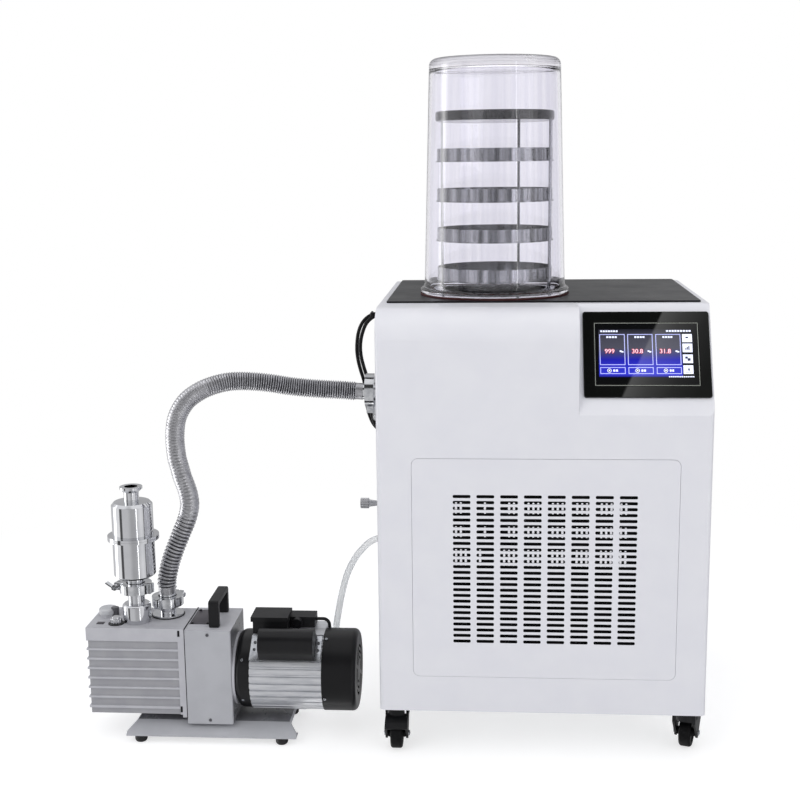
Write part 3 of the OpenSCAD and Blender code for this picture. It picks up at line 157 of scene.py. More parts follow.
@dataclass(frozen=True)
class Finish:
    """A surface: its colour, how it varies, its gloss and its relief.

    The variation is the slow change of tone and gloss over a surface, and the relief is what the
    tool or the mould left in it.

    Attributes:
        name: The material's name.
        slot: The material slot that it stands for. Not used.
        colour: Its main tone, as six hex digits.
        second: The tone that it changes to in places.
        rough: Roughness where it is glossiest and where it is dullest.
        metallic: 1 for bare metal, 0 for paint, plastic and glass.
        ior: Index of refraction of what isn't metal.
        mottle: Size of the variation in mm, the same all ways or along each axis.
        grain: Size of the relief's grains in mm.
        relief: Depth of the relief in mm, or 0 for none.
        coat: Weight of a clear coat.
        transmission: How much light passes, from 0 to 1.
        specular: Strength of the sheen of what isn't metal.
        emission: Strength of its own light.
    """

    name: str
    slot: str
    colour: str
    second: str
    rough: tuple[float, float]
    metallic: float = 0.0
    ior: float = 1.5
    mottle: Point | float = 60
    grain: Point | float = 4
    relief: float = 0.02
    coat: float = 0.0
    transmission: float = 0.0
    specular: float = 0.5
    emission: float = 0.0

    @staticmethod
    def pattern(tree: Tree, size: Point | float, detail: float, rough: float = 0.5) -> Socket:
        """Draws grains of a real size in object space.

        Args:
            tree: The node tree.
            size: Size of a grain in mm, the same all ways or along each axis.
            detail: Octaves.
            rough: Roughness of the octaves.

        Returns:
            The pattern's value socket.
        """
        sizes = [size] * 3 if isinstance(size, (int, float)) else size
        place = add(tree, "TexCoord").outputs["Object"]
        scaled = add(tree, "Mapping", {0: place, 3: [1 / (s * MM) for s in sizes]}).outputs[0]
        inputs = {"Vector": scaled, "Scale": 1.0, "Detail": detail, "Roughness": rough}
        return add(tree, "TexNoise", inputs).outputs[0]

    def colour_socket(self, tree: Tree) -> Socket:
        """Mixes the two tones over the surface."""
        stops = list(zip(TONE_RANGE, (linear(self.colour), linear(self.second))))
        return add(tree, "ValToRGB", [self.pattern(tree, self.mottle, 3)], stops).outputs[0]

    def height_socket(self, tree: Tree) -> Socket:
        """Gives the relief's height, from 0 to 1."""
        return self.pattern(tree, self.grain, 2)

    def make(self) -> bpy.types.Material:
        """Builds the material, or returns it where it is there already."""
        known = bpy.data.materials.get(self.name)
        if known:
            return known
        material = bpy.data.materials.new(self.name)
        material.use_nodes = True
        tree = material.node_tree
        shader = tree.nodes["Principled BSDF"]
        shader.inputs["Metallic"].default_value = self.metallic
        if self.metallic < 0.5:
            shader.inputs["IOR"].default_value = self.ior
            shader.inputs["Specular IOR Level"].default_value = self.specular
        shader.inputs["Coat Weight"].default_value = self.coat
        shader.inputs["Coat Roughness"].default_value = COAT_ROUGH
        shader.inputs["Transmission Weight"].default_value = self.transmission
        tone = self.colour_socket(tree)
        tree.links.new(tone, shader.inputs["Base Color"])
        if self.emission:
            tree.links.new(tone, shader.inputs["Emission Color"])
            shader.inputs["Emission Strength"].default_value = self.emission
        gloss = add(tree, "MapRange", [self.pattern(tree, self.mottle, 4, 0.6), *NOISE_RANGE, *self.rough])
        tree.links.new(gloss.outputs[0], shader.inputs["Roughness"])
        if self.relief:
            height = self.height_socket(tree)
            bump = add(tree, "Bump", {"Strength": 1.0, "Distance": self.relief * MM, "Height": height})
            tree.links.new(bump.outputs[0], shader.inputs["Normal"])
        return material


@dataclass(frozen=True)
class Turned(Finish):
    """Metal turned or spun round an upright axis: fine rings round it, seen as level lines."""

    lines: Axis = Axis.Z

    def height_socket(self, tree: Tree) -> Socket:
        """Draws lines across the axis, 0.8 mm apart and so coarser than the tool's, to show."""
        size = [60.0, 60.0, 60.0]
        size[self.lines.value] = 0.8
        return self.pattern(tree, size, 3, 0.7)


@dataclass(frozen=True)
class Display(Finish):
    """A lit panel whose colour runs from blue at its foot to near black at its top.

    Attributes:
        foot: Height of its foot above the floor in metres.
        rise: How far its top is above that, in metres.
        between: Shares of the rise, and the colours there.
    """

    foot: float = 0.6293
    rise: float = 0.0704
    between: Sequence[tuple[float, str]] = (
        (0.05, "2b2fae"), (0.20, "272ba6"), (0.36, "1c1d92"), (0.46, "31316a"), (0.60, "42424e"),
        (0.82, "3b3b46"))

    def colour_socket(self, tree: Tree) -> Socket:
        """Runs the colours up the panel, over its height above the floor."""
        place = add(tree, "TexCoord").outputs["Object"]
        height = add(tree, "SeparateXYZ", [place]).outputs[2]
        along = add(tree, "MapRange", [height, self.foot, self.foot + self.rise]).outputs[0]
        stops = [(0.0, self.colour), *self.between, (1.0, self.second)]
        return add(tree, "ValToRGB", [along], [(at, linear(colour)) for at, colour in stops]).outputs[0]


# Polyester powder coat, sprayed and baked: satin white with a slight orange peel.
POWDER = Finish("powder_coat_white", "white_paint", "e9e9ee", "e6e6ec", (0.36, 0.44), grain=5, relief=0.025,
                coat=0.12)
# Zinc-coated sheet: grey with large soft spangles.
GALVANISED = Finish("galvanised_sheet", "galvanised_steel", "a9acb0", "c3c5c8", (0.35, 0.5), 1.0, mottle=9,
                    relief=0.01)
# Black enamelled steel plate under the jar: smooth, satin, a little dusty.
ENAMEL = Finish("black_enamel_plate", "black_plate", "1b1c1e", "202124", (0.26, 0.36), mottle=90,
                relief=0.012, specular=0.1)
# Cast acrylic bezel, printed black from behind: deep gloss.
BEZEL = Finish("black_acrylic_bezel", "black_bezel", "0a0b0a", "0d0e0d", (0.0, 0.02), ior=1.49, relief=0.0)
# The screen's glass cover over an unlit border: black, with sharp reflections.
GLASS = Finish("screen_cover_glass", "screen_glass", "08080a", "0a0b0d", (0.0, 0.02), ior=1.52, relief=0.0)
# Stainless steel, turned and brushed round its axis: level lines that blur what it mirrors.
STAINLESS = Turned("turned_stainless", "stainless_steel", "c9c9cc", "b9babd", (0.20, 0.32), 1.0,
                   mottle=(25, 25, 8), relief=0.012)
# The trays and shelves: drawn stainless, with the press tool's upright streaks.
TRAY = Finish("drawn_stainless_tray", "stainless_steel", "b8b9bc", "4c4d51", (0.14, 0.26), 1.0,
              mottle=(11, 11, 400), grain=(4, 4, 300), relief=0.02)
# The disc over the rack, of polished black plastic: gloss with faint upright streaks.
COVER = Finish("polished_black_disc", "black_plastic", "0f0f11", "19191c", (0.10, 0.16), ior=1.53,
               mottle=(14, 14, 300), relief=0.0, specular=0.3)
# Cans and vacuum fittings of stainless steel, spun and polished: near mirrors with faint rings.
POLISHED = Turned("polished_stainless", "stainless_steel", "dcdddf", "d2d3d6", (0.03, 0.09), 1.0, mottle=40,
                  relief=0.001)
# Polyurethane foam with its skin: pale yellow, dull and lumpy.
FOAM = Finish("foam_skin", "foam", "d8cda8", "c9bd95", (0.8, 0.9), grain=6, relief=0.4)
# Drawn copper tube, lightly tarnished: reddish, in uneven patches.
COPPER = Finish("drawn_copper", "copper", "c68257", "a5683f", (0.22, 0.38), 1.0, mottle=14, relief=0.01)
# Nylon and ABS mouldings from a spark-eroded mould: black, fine-grained, hardly glossy.
MOULDED = Finish("moulded_black_nylon", "black_plastic", "111113", "161618", (0.42, 0.56), ior=1.53,
                 grain=2.2, relief=0.03, specular=0.3)
# The fan cover and the lids: smoother ABS, near gloss.
ABS = Finish("gloss_black_abs", "black_plastic", "0e0e10", "121214", (0.30, 0.40), ior=1.54, grain=5,
             relief=0.012, specular=0.22)
# Mains rocker: translucent red polycarbonate, polished by its mould.
RED_ROCKER = Finish("red_polycarbonate", "red_plastic", "b3202a", "a01a23", (0.15, 0.22), relief=0.0)
# Moulded silicone seal: red-brown with a soft sheen.
SEAL = Finish("silicone_seal", "red_rubber", "4a1c1d", "3a1718", (0.45, 0.6), ior=1.41, relief=0.02)
# Cast acrylic tube, polished: clear, faintly streaked along its height.
ACRYLIC = Finish("cast_acrylic", "clear_acrylic", "f6f5fa", "ecebf3", (0.0, 0.01), ior=1.49,
                 mottle=(9, 9, 900), relief=0.0, transmission=1.0)
# The jar's top disc: thicker, its cemented rim a little cloudy.
CLOUDY = Finish("cast_acrylic_rim", "clear_acrylic", "eceaf1", "e8e6ee", (0.26, 0.34), ior=1.49, mottle=80,
                relief=0.0, transmission=0.86)
# Stoved paint on cast and pressed parts: black, half gloss, slightly rippled.
BLACK_PAINT = Finish("black_stoved_paint", "black_paint", "101012", "151517", (0.28, 0.40), grain=5,
                     relief=0.03, specular=0.3)
# Extruded aluminium, left natural: pale, with fine streaks along its length.
ALUMINIUM = Finish("extruded_aluminium", "alloy", "e6e7ea", "d4d6da", (0.32, 0.45), 0.9, mottle=(40, 6, 6),
                   grain=(30, 1.5, 1.5), relief=0.02)
# Die-cast aluminium, tumbled: slightly pitted and bright.
CAST = Finish("tumbled_aluminium", "alloy", "dadbdd", "c4c6c9", (0.07, 0.15), 1.0, mottle=9, grain=2.5,
              relief=0.03)
# Corrugated stainless hose, annealed: grey with a soft shine on each ring.
BELLOWS = Finish("annealed_bellows", "alloy", "c4c4c7", "afafb2", (0.32, 0.44), 1.0, mottle=14, relief=0.01)
# The hose's grooves, duller and in shadow.
BELLOWS_ROOT = Finish("bellows_groove", "alloy", "6a6a6d", "58585b", (0.35, 0.5), 0.9, mottle=14, relief=0.01)
# Fan blades: nylon moulded without paint, satin.
FAN = Finish("fan_nylon", "fan_plastic", "2a2a2c", "323235", (0.4, 0.55), relief=0.03)
# Steel plated with bright zinc: cool grey with small cloudy spots.
ZINC = Finish("bright_zinc", "zinc_steel", "c4c6ca", "aeb1b6", (0.18, 0.32), 1.0, mottle=6, relief=0.008)
# Cast polyurethane tread: black, dull and dusty.
TREAD = Finish("caster_tread", "caster_rubber", "0e0e0f", "161617", (0.45, 0.62), mottle=10, grain=2,
               relief=0.05, specular=0.12)
# Soft PVC tube, milky where it is thick.
PVC = Finish("soft_pvc", "clear_tube", "fafbfc", "f2f4f6", (0.16, 0.26), ior=1.45, relief=0.0,
             transmission=0.62)
# Extruded PVC cable jacket: black with a soft sheen.
JACKET = Finish("pvc_jacket", "cable_jacket", "0d0d0e", "131314", (0.32, 0.44), grain=2, relief=0.02,
                specular=0.2)
# Machine enamel over sand-cast iron and aluminium: grey, satin, with the casting's grain.
MACHINE = Finish("grey_machine_enamel", "pump_paint", "bfbfc4", "b8b8be", (0.36, 0.48), mottle=30, grain=3.2,
                 relief=0.10)
# Painted shade: the same enamel, darker between the ribs, and a little duller.
GROOVE = Finish("grey_machine_groove_shade", "pump_paint", "a3a3a7", "9c9ca1", (0.42, 0.54), mottle=30, grain=3.2,
                relief=0.10)
# Painted shade: the same enamel, a little darker on the tank's top.
MACHINE_TOP = Finish("grey_machine_top_shade", "pump_paint", "bbbbc0", "b1b1b7", (0.36, 0.48), mottle=24, grain=3.2,
                     relief=0.10)
# Painted shade: the same enamel darkened where the machine stands over it and on the housing's right side, and
# glossier where oil has filmed it.
SHADED = Finish("grey_machine_painted_shade", "pump_paint", "77787c", "6b6b70", (0.24, 0.36), mottle=(26, 60, 26),
                grain=5, relief=0.03)
# The same enamel on sheet, smoother.
SHEET_ENAMEL = Finish("grey_sheet_enamel", "pump_paint", "b6b7bc", "b0b1b6", (0.33, 0.44), mottle=40, grain=5,
                      relief=0.03)
# Feet and seals: cured rubber, dull and a little dusty.
RUBBER = Finish("foot_rubber_black", "foot_rubber", "161617", "202021", (0.6, 0.75), grain=2, relief=0.06)
# Oil filler cap: pale nylon, moulded satin.
GREY_CAP = Finish("grey_nylon", "grey_plastic", "cccdd0", "c2c3c7", (0.4, 0.5), relief=0.02)
# Small stopper beside it: the same nylon, dyed dark.
DARK_CAP = Finish("dark_grey_nylon", "grey_plastic", "626266", "57575b", (0.4, 0.5), relief=0.02)
# Dark plate on the pump's deck, anodised with a violet cast.
DECK = Finish("dark_anodised", "pump_paint", "3b363f", "322e36", (0.28, 0.4), 0.3, relief=0.01)
# Steel screws gone dull, half in their sockets' shadow.
DULL_SCREW = Finish("dull_steel_screw", "zinc_steel", "77787c", "606165", (0.3, 0.45), 0.8, mottle=3,
                    relief=0.01)
# Screws of blackened steel: dark grey and dull.
BLACK_SCREW = Finish("blackened_screw", "black_paint", "1d1d20", "29292c", (0.3, 0.42), 0.6, relief=0.01)
# Lit liquid crystal under glass: deep blue that glows at its foot.
PANEL = Display("lit_panel", "screen_glass", "15155a", "1a1a22", (0.0, 0.02), relief=0.0, emission=0.62)
# Its signs, lit through the same glass: clear white with a touch of blue.
MARK = Finish("lit_white_mark", "screen_glass", "e4e8fb", "dce2fb", (0.1, 0.2), relief=0.0, emission=0.62)
# The frames round its panels and buttons: pale blue, a little softer.
FRAME = Finish("lit_pale_blue_line", "screen_glass", "b4b8ee", "adb2ea", (0.1, 0.2), relief=0.0, emission=0.6)
# The rim of its numerals: warm red that glows round the white.
RED_MARK = Finish("lit_red_numeral", "screen_glass", "d2382f", "c9332a", (0.1, 0.2), relief=0.0,
                  emission=0.55)
# The border printed under the glass in pale ink, hardly lit.
LINE = Finish("screen_border_line", "screen_glass", "a5a8a0", "9da098", (0.1, 0.2), relief=0.0, emission=0.14)
# Signs on the pale buttons: dark, so hardly lit.
DARK_MARK = Finish("dark_icon", "screen_glass", "20284a", "1c2342", (0.1, 0.2), relief=0.0, emission=0.1)
# Painted shade: a black sheet that hardly shines, hung behind the slots where the cabinet's inside lies in
# shade; the slots' own walls take it too.
SHADE_BLACK = Finish("painted_shade_sheet", "black_plastic", "070708", "0b0b0c", (0.7, 0.85), relief=0.05, specular=0.15)
# Painted light: pale strips that glow on the black sheet between the slots, standing for daylight through the
# rear vents.
VENT_GLOW = Finish("vent_strips", "white_paint", "e4e4e8", "dedee3", (0.5, 0.6), relief=0.0, emission=0.40)
# Mineral oil behind the sight glass, amber and wet.
OIL = Finish("sight_glass_oil", "pump_paint", "b98a36", "a87b2c", (0.05, 0.1), relief=0.0, coat=0.6)


# ---------------------------------------------------------------- meshes


def paint(made: Iterable[Vert], material: int) -> None:
    """Gives the faces round some vertices their material number."""
    for face in {f for v in made for f in v.link_faces}:
        face.material_index = material


def crisp(edges: Iterable[bmesh.types.BMEdge], angle: float = 30.0) -> list[bmesh.types.BMEdge]:
    """Picks the edges between two faces that bend more than an angle in degrees."""
    return [e for e in edges if len(e.link_faces) == 2 and e.calc_face_angle(0.0) > math.radians(angle)]


def soften(bm: Mesh, edges: list[bmesh.types.BMEdge], radius: float, segments: int = 2) -> None:
    """Rounds edges to a radius in mm."""
    bmesh.ops.bevel(bm, geom=edges, offset=radius * MM, offset_type="OFFSET", segments=segments, profile=0.5,
                    affect="EDGES", clamp_overlap=True, material=-1)


def finished(
    name: str,
    bm: Mesh,
    finishes: Finish | Sequence[Finish],
    body: Body = Body.DRYER,
    replaced: Iterable[str] = (),
    sharp: float = 32.0,
    outward: bool = True,
) -> bpy.types.Object:
    """Turns a bmesh to a piece of the scene and reports it.

    Args:
        name: The piece's name.
        bm: Its mesh, in metres at its place. It is freed here.
        finishes: Its finish, or one for each material number.
        body: The body that it rides on.
        replaced: CAD nodes that it stands for.
        sharp: Edges bent more than this many degrees stay sharp.
        outward: Whether its normals are recalculated.

    Returns:
        The piece.
    """
    if outward:
        bmesh.ops.recalc_face_normals(bm, faces=bm.faces)
    for face in bm.faces:
        face.smooth = True
    for edge in bm.edges:
        edge.smooth = len(edge.link_faces) == 2 and edge.calc_face_angle(0.0) < math.radians(sharp)
    mesh = bpy.data.meshes.new(name)
    bm.to_mesh(mesh)
    bm.free()
    for extra in [a.name for a in mesh.attributes if a.name.startswith("custom_normal")]:
        mesh.attributes.remove(mesh.attributes[extra])
    piece = bpy.data.objects.new(name, mesh)
    bpy.context.scene.collection.objects.link(piece)
    kinds = [finishes] if isinstance(finishes, Finish) else list(finishes)
    for kind in kinds:
        mesh.materials.append(kind.make())
    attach(piece, body.value)
    names = tuple(replaced)
    if names:
        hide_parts(*names)
    LOG.info("%s: %d faces", name, len(mesh.polygons))
    return piece


def dress(node: str, finish: Finish) -> None:
    """Gives a CAD node its finish, its mesh untouched."""
    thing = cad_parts[node]
    if not thing.material_slots:
        thing.data.materials.append(None)
    for place in thing.material_slots:
        place.material = finish.make()


def refined(
    node: str,
    finish: Finish | Sequence[Finish],
    radius: float,
    body: Body = Body.DRYER,
    angle: float = 32.0,
    segments: int = 2,
    pick: Callable[[Face], int] | None = None,
) -> bpy.types.Object:
    """Makes a merged copy of a CAD node with its sharp edges rounded, and shows it in the node's place.

    Args:
        node: The CAD node.
        finish: Its finish, or several.
        radius: Width of the rounding in mm.
        body: The body that it rides on.
        angle: Edges bent more than this many degrees are rounded.
        segments: Segments of the rounding.
        pick: Gives a face's material number.

    Returns:
        The copy.
    """
    bm = bmesh.new()
    bm.from_mesh(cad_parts[node].data)
    bmesh.ops.remove_doubles(bm, verts=bm.verts, dist=MERGE)
    bmesh.ops.dissolve_degenerate(bm, dist=SLIVER, edges=bm.edges)
    bmesh.ops.dissolve_limit(bm, angle_limit=math.radians(FLAT), verts=bm.verts, edges=bm.edges,
                             use_dissolve_boundaries=False, delimit=set())
    for face in bm.faces:
        face.material_index = 0
    soften(bm, crisp(bm.edges, angle), radius, segments)
    if pick:
        for face in bm.faces:
            face.material_index = pick(face)
    piece = finished(node + "_skin", bm, finish, body, [node], sharp=angle, outward=False)
    piece.modifiers.new("even shading", "WEIGHTED_NORMAL").keep_sharp = True
    return piece


def refine_each(*rows: tuple) -> None:
    """Refines nodes, each given by its name, finish, radius in mm and, where it isn't the dryer's, its body."""
    for row in rows:
        refined(*row)


def block(bm: Mesh, low: Point, high: Point, radius: float) -> None:
    """Adds a box with rounded edges, given by its corners in mm.

    Args:
        bm: Where it is added.
        low: The lowest corner.
        high: The highest corner.
        radius: Radius of its edges in mm.
    """
    made = bmesh.ops.create_cube(bm, size=1.0)["verts"]
    size = [(b - a) * MM for a, b in zip(low, high)]
    middle = [(a + b) / 2 * MM for a, b in zip(low, high)]
    bmesh.ops.transform(bm, matrix=Matrix.Translation(middle) @ Matrix.Diagonal((*size, 1.0)), verts=made)
    soften(bm, crisp(dict.fromkeys(e for v in made for e in v.link_edges)), radius)


def lathe(
    bm: Mesh,
    outline: Sequence[Point],
    at: Point,
    axis: Axis = Axis.Z,
    steps: int = 36,
    material: int = 0,
    flip: bool = False,
) -> None:
    """Spins an outline of radii and heights in mm round an axis.

    Args:
        bm: Where it is added.
        outline: Radius and height of each point, from end to end.
        at: The place of its zero height, in mm.
        axis: The axis that it turns round.
        steps: Steps of the full turn.
        material: Its material number.
        flip: Whether its height runs against the axis.
    """
    points = [bm.verts.new((r * MM, 0.0, z * MM)) for r, z in outline]
    edges = [bm.edges.new(pair) for pair in zip(points, points[1:])]
    before = set(bm.verts) - set(points)
    bmesh.ops.spin(bm, geom=points + edges, cent=(0, 0, 0), axis=(0, 0, 1), dvec=(0, 0, 0), angle=2 * math.pi,
                   steps=steps, use_merge=True, use_duplicate=False)
    made = [v for v in bm.verts if v not in before]
    bmesh.ops.remove_doubles(bm, verts=made, dist=TINY)
    made = [v for v in bm.verts if v not in before]
    facing = {Axis.Z: Matrix.Identity(4), Axis.X: Matrix.Rotation(math.pi / 2, 4, "Y"),
              Axis.Y: Matrix.Rotation(-math.pi / 2, 4, "X")}[axis]
    if flip:
        facing = facing @ Matrix.Rotation(math.pi, 4, "X")
    bmesh.ops.transform(bm, matrix=Matrix.Translation([v * MM for v in at]) @ facing, verts=made)
    paint(made, material)


def arc(across: float, up: float, radius: float, first: float, last: float, steps: int) -> list[Point]:
    """Gives the points of an arc.

    Args:
        across: Radius at its centre, in mm.
        up: Height of its centre, in mm.
        radius: Its own radius in mm.
        first: Where it starts, in degrees.
        last: Where it ends, in degrees.
        steps: How many steps it takes.

    Returns:
        Radius and height of each point, in mm.
    """
    turns = [math.radians(first + (last - first) * k / steps) for k in range(steps + 1)]
    return [(across + radius * math.cos(a), up + radius * math.sin(a)) for a in turns]


def rounded_end(radius: float, low: float, high: float, soft: float) -> list[Point]:
    """Gives the outline of a solid button with a rounded top edge: radii and heights in mm."""
    return [(0, low), (radius, low), *arc(radius - soft, high - soft, soft, 0, 90, 5), (0, high)]


def screw(
    bm: Mesh, at: Point, axis: Axis, radius: float, height: float, flip: bool = False, material: int = 0
) -> None:
    """Adds a cap screw with a hexagon socket.

    Args:
        bm: Where it is added.
        at: The middle of its seat, in mm.
        axis: Its axis.
        radius: Radius of its head in mm.
        height: Height of its head in mm.
        flip: Whether it points against the axis.
        material: Its material number.
    """
    socket, floor = radius * 0.5, height * 0.35
    lathe(bm, [(0, floor), (socket, floor), (socket, height), (radius * 0.86, height), (radius, height * 0.84),
               (radius, 0)], at, axis, 12, material, flip)


def smooth_path(points: Sequence[Point], step: float) -> list[Vector]:
    """Draws one smooth curve through points and spaces it evenly.

    Args:
        points: Points in mm.
        step: Distance between neighbours in mm.

    Returns:
        The curve's points in mm.
    """
    # A Catmull-Rom curve, with one more point beyond each end.
    p = [Vector(v) for v in points]
    p = [2 * p[0] - p[1], *p, 2 * p[-1] - p[-2]]
    fine: list[Vector] = []
    for a, b, c, d in zip(p, p[1:], p[2:], p[3:]):
        for k in range(FINE):
            t = k / FINE
            bow, swing = 2 * a - 5 * b + 4 * c - d, 3 * b - a - 3 * c + d
            fine.append(0.5 * ((2 * b) + (c - a) * t + bow * t**2 + swing * t**3))
    fine.append(p[-2])
    ends = [0.0]
    for a, b in zip(fine, fine[1:]):
        ends.append(ends[-1] + (b - a).length)
    count = max(2, round(ends[-1] / step))
    out: list[Vector] = []
    j = 0
    for k in range(count + 1):
        want = ends[-1] * k / count
        while j < len(ends) - 2 and ends[j + 1] < want:
            j += 1
        span = ends[j + 1] - ends[j]
        out.append(fine[j].lerp(fine[j + 1], (want - ends[j]) / span if span else 0.0))
    return out


def tube(bm: Mesh, path: Sequence[Vector], radii: Sequence[float], sides: int, bore: float = 0.0) -> None:
    """Sweeps rings along a path, without twist, and closes both ends.

    Args:
        bm: Where it is added.
        path: The ring centres in mm.
        radii: Radius of each ring in mm.
        sides: Corners of a ring.
        bore: Depth of the open mouth at each end in mm, or 0 for plain ends.
    """
    ahead = [(b - a).normalized() for a, b in zip(path, path[1:])]
    tangents = [ahead[0]] + [(a + b).normalized() for a, b in zip(ahead, ahead[1:])] + [ahead[-1]]
    side = tangents[0].orthogonal().normalized()
    rings: list[list[Vert]] = []
    frames: list[tuple[Vector, Vector]] = []
    for centre, along, radius in zip(path, tangents, radii):
        side = (side - side.dot(along) * along).normalized()
        up = along.cross(side)
        frames.append((side, up))
        rings.append(ring(bm, centre, side, up, radius, sides))
    for a, b in zip(rings, rings[1:]):
        join(bm, a, b)
    for end, inward in ((0, 1), (-1, -1)):
        rim = rings[end]
        if bore:
            side, up = frames[end]
            for depth in (0.0, bore):
                centre = path[end] + tangents[end] * inward * depth
                inner = ring(bm, centre, side, up, radii[end] * BORE, sides)
                join(bm, rim, inner)
                rim = inner
        bm.faces.new(rim if inward < 0 else rim[::-1])


def ring(bm: Mesh, centre: Vector, side: Vector, up: Vector, radius: float, sides: int) -> list[Vert]:
    """Adds one ring of vertices.

    Args:
        bm: Where it is added.
        centre: Its centre in mm.
        side: Where its first vertex stands, seen from the centre.
        up: The direction a quarter turn further.
        radius: Its radius in mm.
        sides: How many vertices it has.

    Returns:
        Its vertices, in order.
    """
    turns = [2 * math.pi * k / sides for k in range(sides)]
    return [bm.verts.new((centre + radius * (math.cos(a) * side + math.sin(a) * up)) * MM) for a in turns]


def join(bm: Mesh, a: list[Vert], b: list[Vert]) -> None:
    """Joins two rings with quads."""
    for k in range(len(a)):
        n = (k + 1) % len(a)
        bm.faces.new((a[k], a[n], b[n], b[k]))


# ---------------------------------------------------------------- sizes shared by the pieces


@dataclass(frozen=True)
class Layout:
    """The CAD's main values in mm that several pieces are placed by."""

    front_y: float = -240.0
    trap: tuple[float, float] = (170.0, -5.0)
    pump_x: float = -517.0
    pump_y: float = -150.0
    pump_front: float = -208.0
    motor_z: float = 110.0
    tank_top: float = 199.0
    housing_top: float = 197.5
    inlet: tuple[float, float] = (-392.0, -137.0)


CAD = Layout()


# ---------------------------------------------------------------- camera, floor and light


@dataclass
class Studio:
    """The camera, the pale floor and the soft lights."""

    # The camera's place in metres, its turns in radians, its lens and its film's width in mm.
    eye: Point = (0.1785, -2.2708, 0.9802)
    yaw: float = -0.0766
    pitch: float = -0.18598
    roll: float = -0.01217
    lens: float = 59.18
    film: float = 36.0
    clip: tuple[float, float] = (0.05, 60.0)
    # Degrees round the object from its front, and how bright the surround is there.
    bands: Sequence[tuple[float, float]] = (
        (-180, 0.36), (-150, 0.60), (-128, 0.62), (-112, 0.96), (-62, 1.0), (-58, 0.10), (-46, 0.10),
        (-42, 0.68), (-10, 0.66), (8, 0.48), (26, 0.48), (42, 0.70), (62, 0.90), (76, 0.78), (82, 0.04),
        (128, 0.03), (134, 0.56), (150, 0.78), (180, 0.36))
    band_blue: float = 1.02
    # Bright strips: where each stands, half its width and its power.
    strips: Sequence[tuple[float, float, float]] = ((-97.0, 11.0, 6.0), (37.5, 1.2, 6.0))
    # The window: its edge's direction, its fade from that edge, and between which heights and fronts it starts.
    window_edge: Point = (0.9046, -0.2530, -0.3432)
    window: Sequence[tuple[float, float]] = ((0.0, 0.03), (0.03, 1.0), (0.3, 0.55), (0.65, 0.24), (1.0, 0.12))
    window_rise: tuple[float, float] = (0.42, 0.60)
    window_front: tuple[float, float] = (0.35, 0.5)
    window_edge_width: tuple[float, float] = (-0.001, 0.049)
    window_light: Point = (1.8, 1.8, 1.8, 1)
    ceiling: Point = (0.95, 0.95, 0.97, 1)
    # The floor lies just under the object, shows its shadow in part, and past the shadow's reach turns white.
    floor_size: float = 9.0
    floor_z: float = -0.0005
    floor_colour: Point = (0.86, 0.86, 0.87, 1)
    shadow_reach: tuple[float, float] = (0.75, 1.5)
    shadow_share: float = 0.38
    floor_glow: float = 0.42
    air: float = 0.54
    air_colour: Point = (0.97, 0.98, 1, 1)
    # Soft boxes: name, place, aim, width and height in metres, and power in watts.
    boxes: Sequence[tuple[str, Point, Point, tuple[float, float], float]] = (
        ("key_box", (-2.1, -2.7, 2.7), (0.1, 0, 0.5), (3.0, 3.0), 46),
        ("fill_box", (2.8, -2.2, 1.7), (0.2, 0, 0.5), (2.6, 2.8), 24),
        ("top_box", (0.1, -0.2, 3.4), (0.1, 0, 0.5), (3.4, 2.8), 22))

    def camera(self) -> None:
        """Sets the camera up."""
        level = math.cos(self.pitch)
        ahead = Vector((math.sin(self.yaw) * level, math.cos(self.yaw) * level, math.sin(self.pitch)))
        right0 = Vector((math.cos(self.yaw), -math.sin(self.yaw), 0.0))
        up0 = right0.cross(ahead)
        right = right0 * math.cos(self.roll) + up0 * math.sin(self.roll)
        up = up0 * math.cos(self.roll) - right0 * math.sin(self.roll)
        data = bpy.data.cameras.new("camera")
        data.lens, data.sensor_width = self.lens, self.film
        data.clip_start, data.clip_end = self.clip
        camera = bpy.data.objects.new("camera", data)
        turn = Matrix((right, up, -ahead)).transposed().to_4x4()
        camera.matrix_world = Matrix.Translation(self.eye) @ turn
        bpy.context.scene.collection.objects.link(camera)
        bpy.context.scene.camera = camera

    def floor(self) -> None:
        """Lays the floor: white to the camera except for the object's shadow, and left out of mirrors."""
        bm = bmesh.new()
        bmesh.ops.create_grid(bm, x_segments=1, y_segments=1, size=self.floor_size)
        mesh = bpy.data.meshes.new("floor")
        bm.to_mesh(mesh)
        bm.free()
        floor = bpy.data.objects.new("floor", mesh)
        floor.location.z = self.floor_z
        bpy.context.scene.collection.objects.link(floor)
        material = bpy.data.materials.new("pale_floor")
        material.use_nodes = True
        tree = material.node_tree
        shader = tree.nodes["Principled BSDF"]
        shader.inputs["Base Color"].default_value = self.floor_colour
        shader.inputs["Roughness"].default_value = 0.9
        shader.inputs["Specular IOR Level"].default_value = 0.1
        path = add(tree, "LightPath").outputs
        rays = [path["Is Camera Ray"], path["Is Transmission Ray"]]
        seen = add(tree, "Math", rays, operation="MAXIMUM").outputs[0]
        glow = add(tree, "Emission", {"Color": WHITE, "Strength": self.floor_glow}).outputs[0]
        both = add(tree, "AddShader", [shader.outputs[0], glow]).outputs[0]
        place = add(tree, "TexCoord").outputs["Object"]
        reach = add(tree, "VectorMath", [place], operation="LENGTH").outputs["Value"]
        far = add(tree, "MapRange", [reach, *self.shadow_reach, self.shadow_share]).outputs[0]
        white = add(tree, "Emission", {"Color": WHITE, "Strength": 1.0}).outputs[0]
        ground = add(tree, "MixShader", [far, both, white]).outputs[0]
        mix = add(tree, "MixShader", [seen, shader.outputs[0], ground]).outputs[0]
        open_air = add(tree, "BsdfTransparent").outputs[0]
        past = add(tree, "MixShader", [path["Is Glossy Ray"], mix, open_air]).outputs[0]
        tree.links.new(past, tree.nodes["Material Output"].inputs[0])
        mesh.materials.append(material)

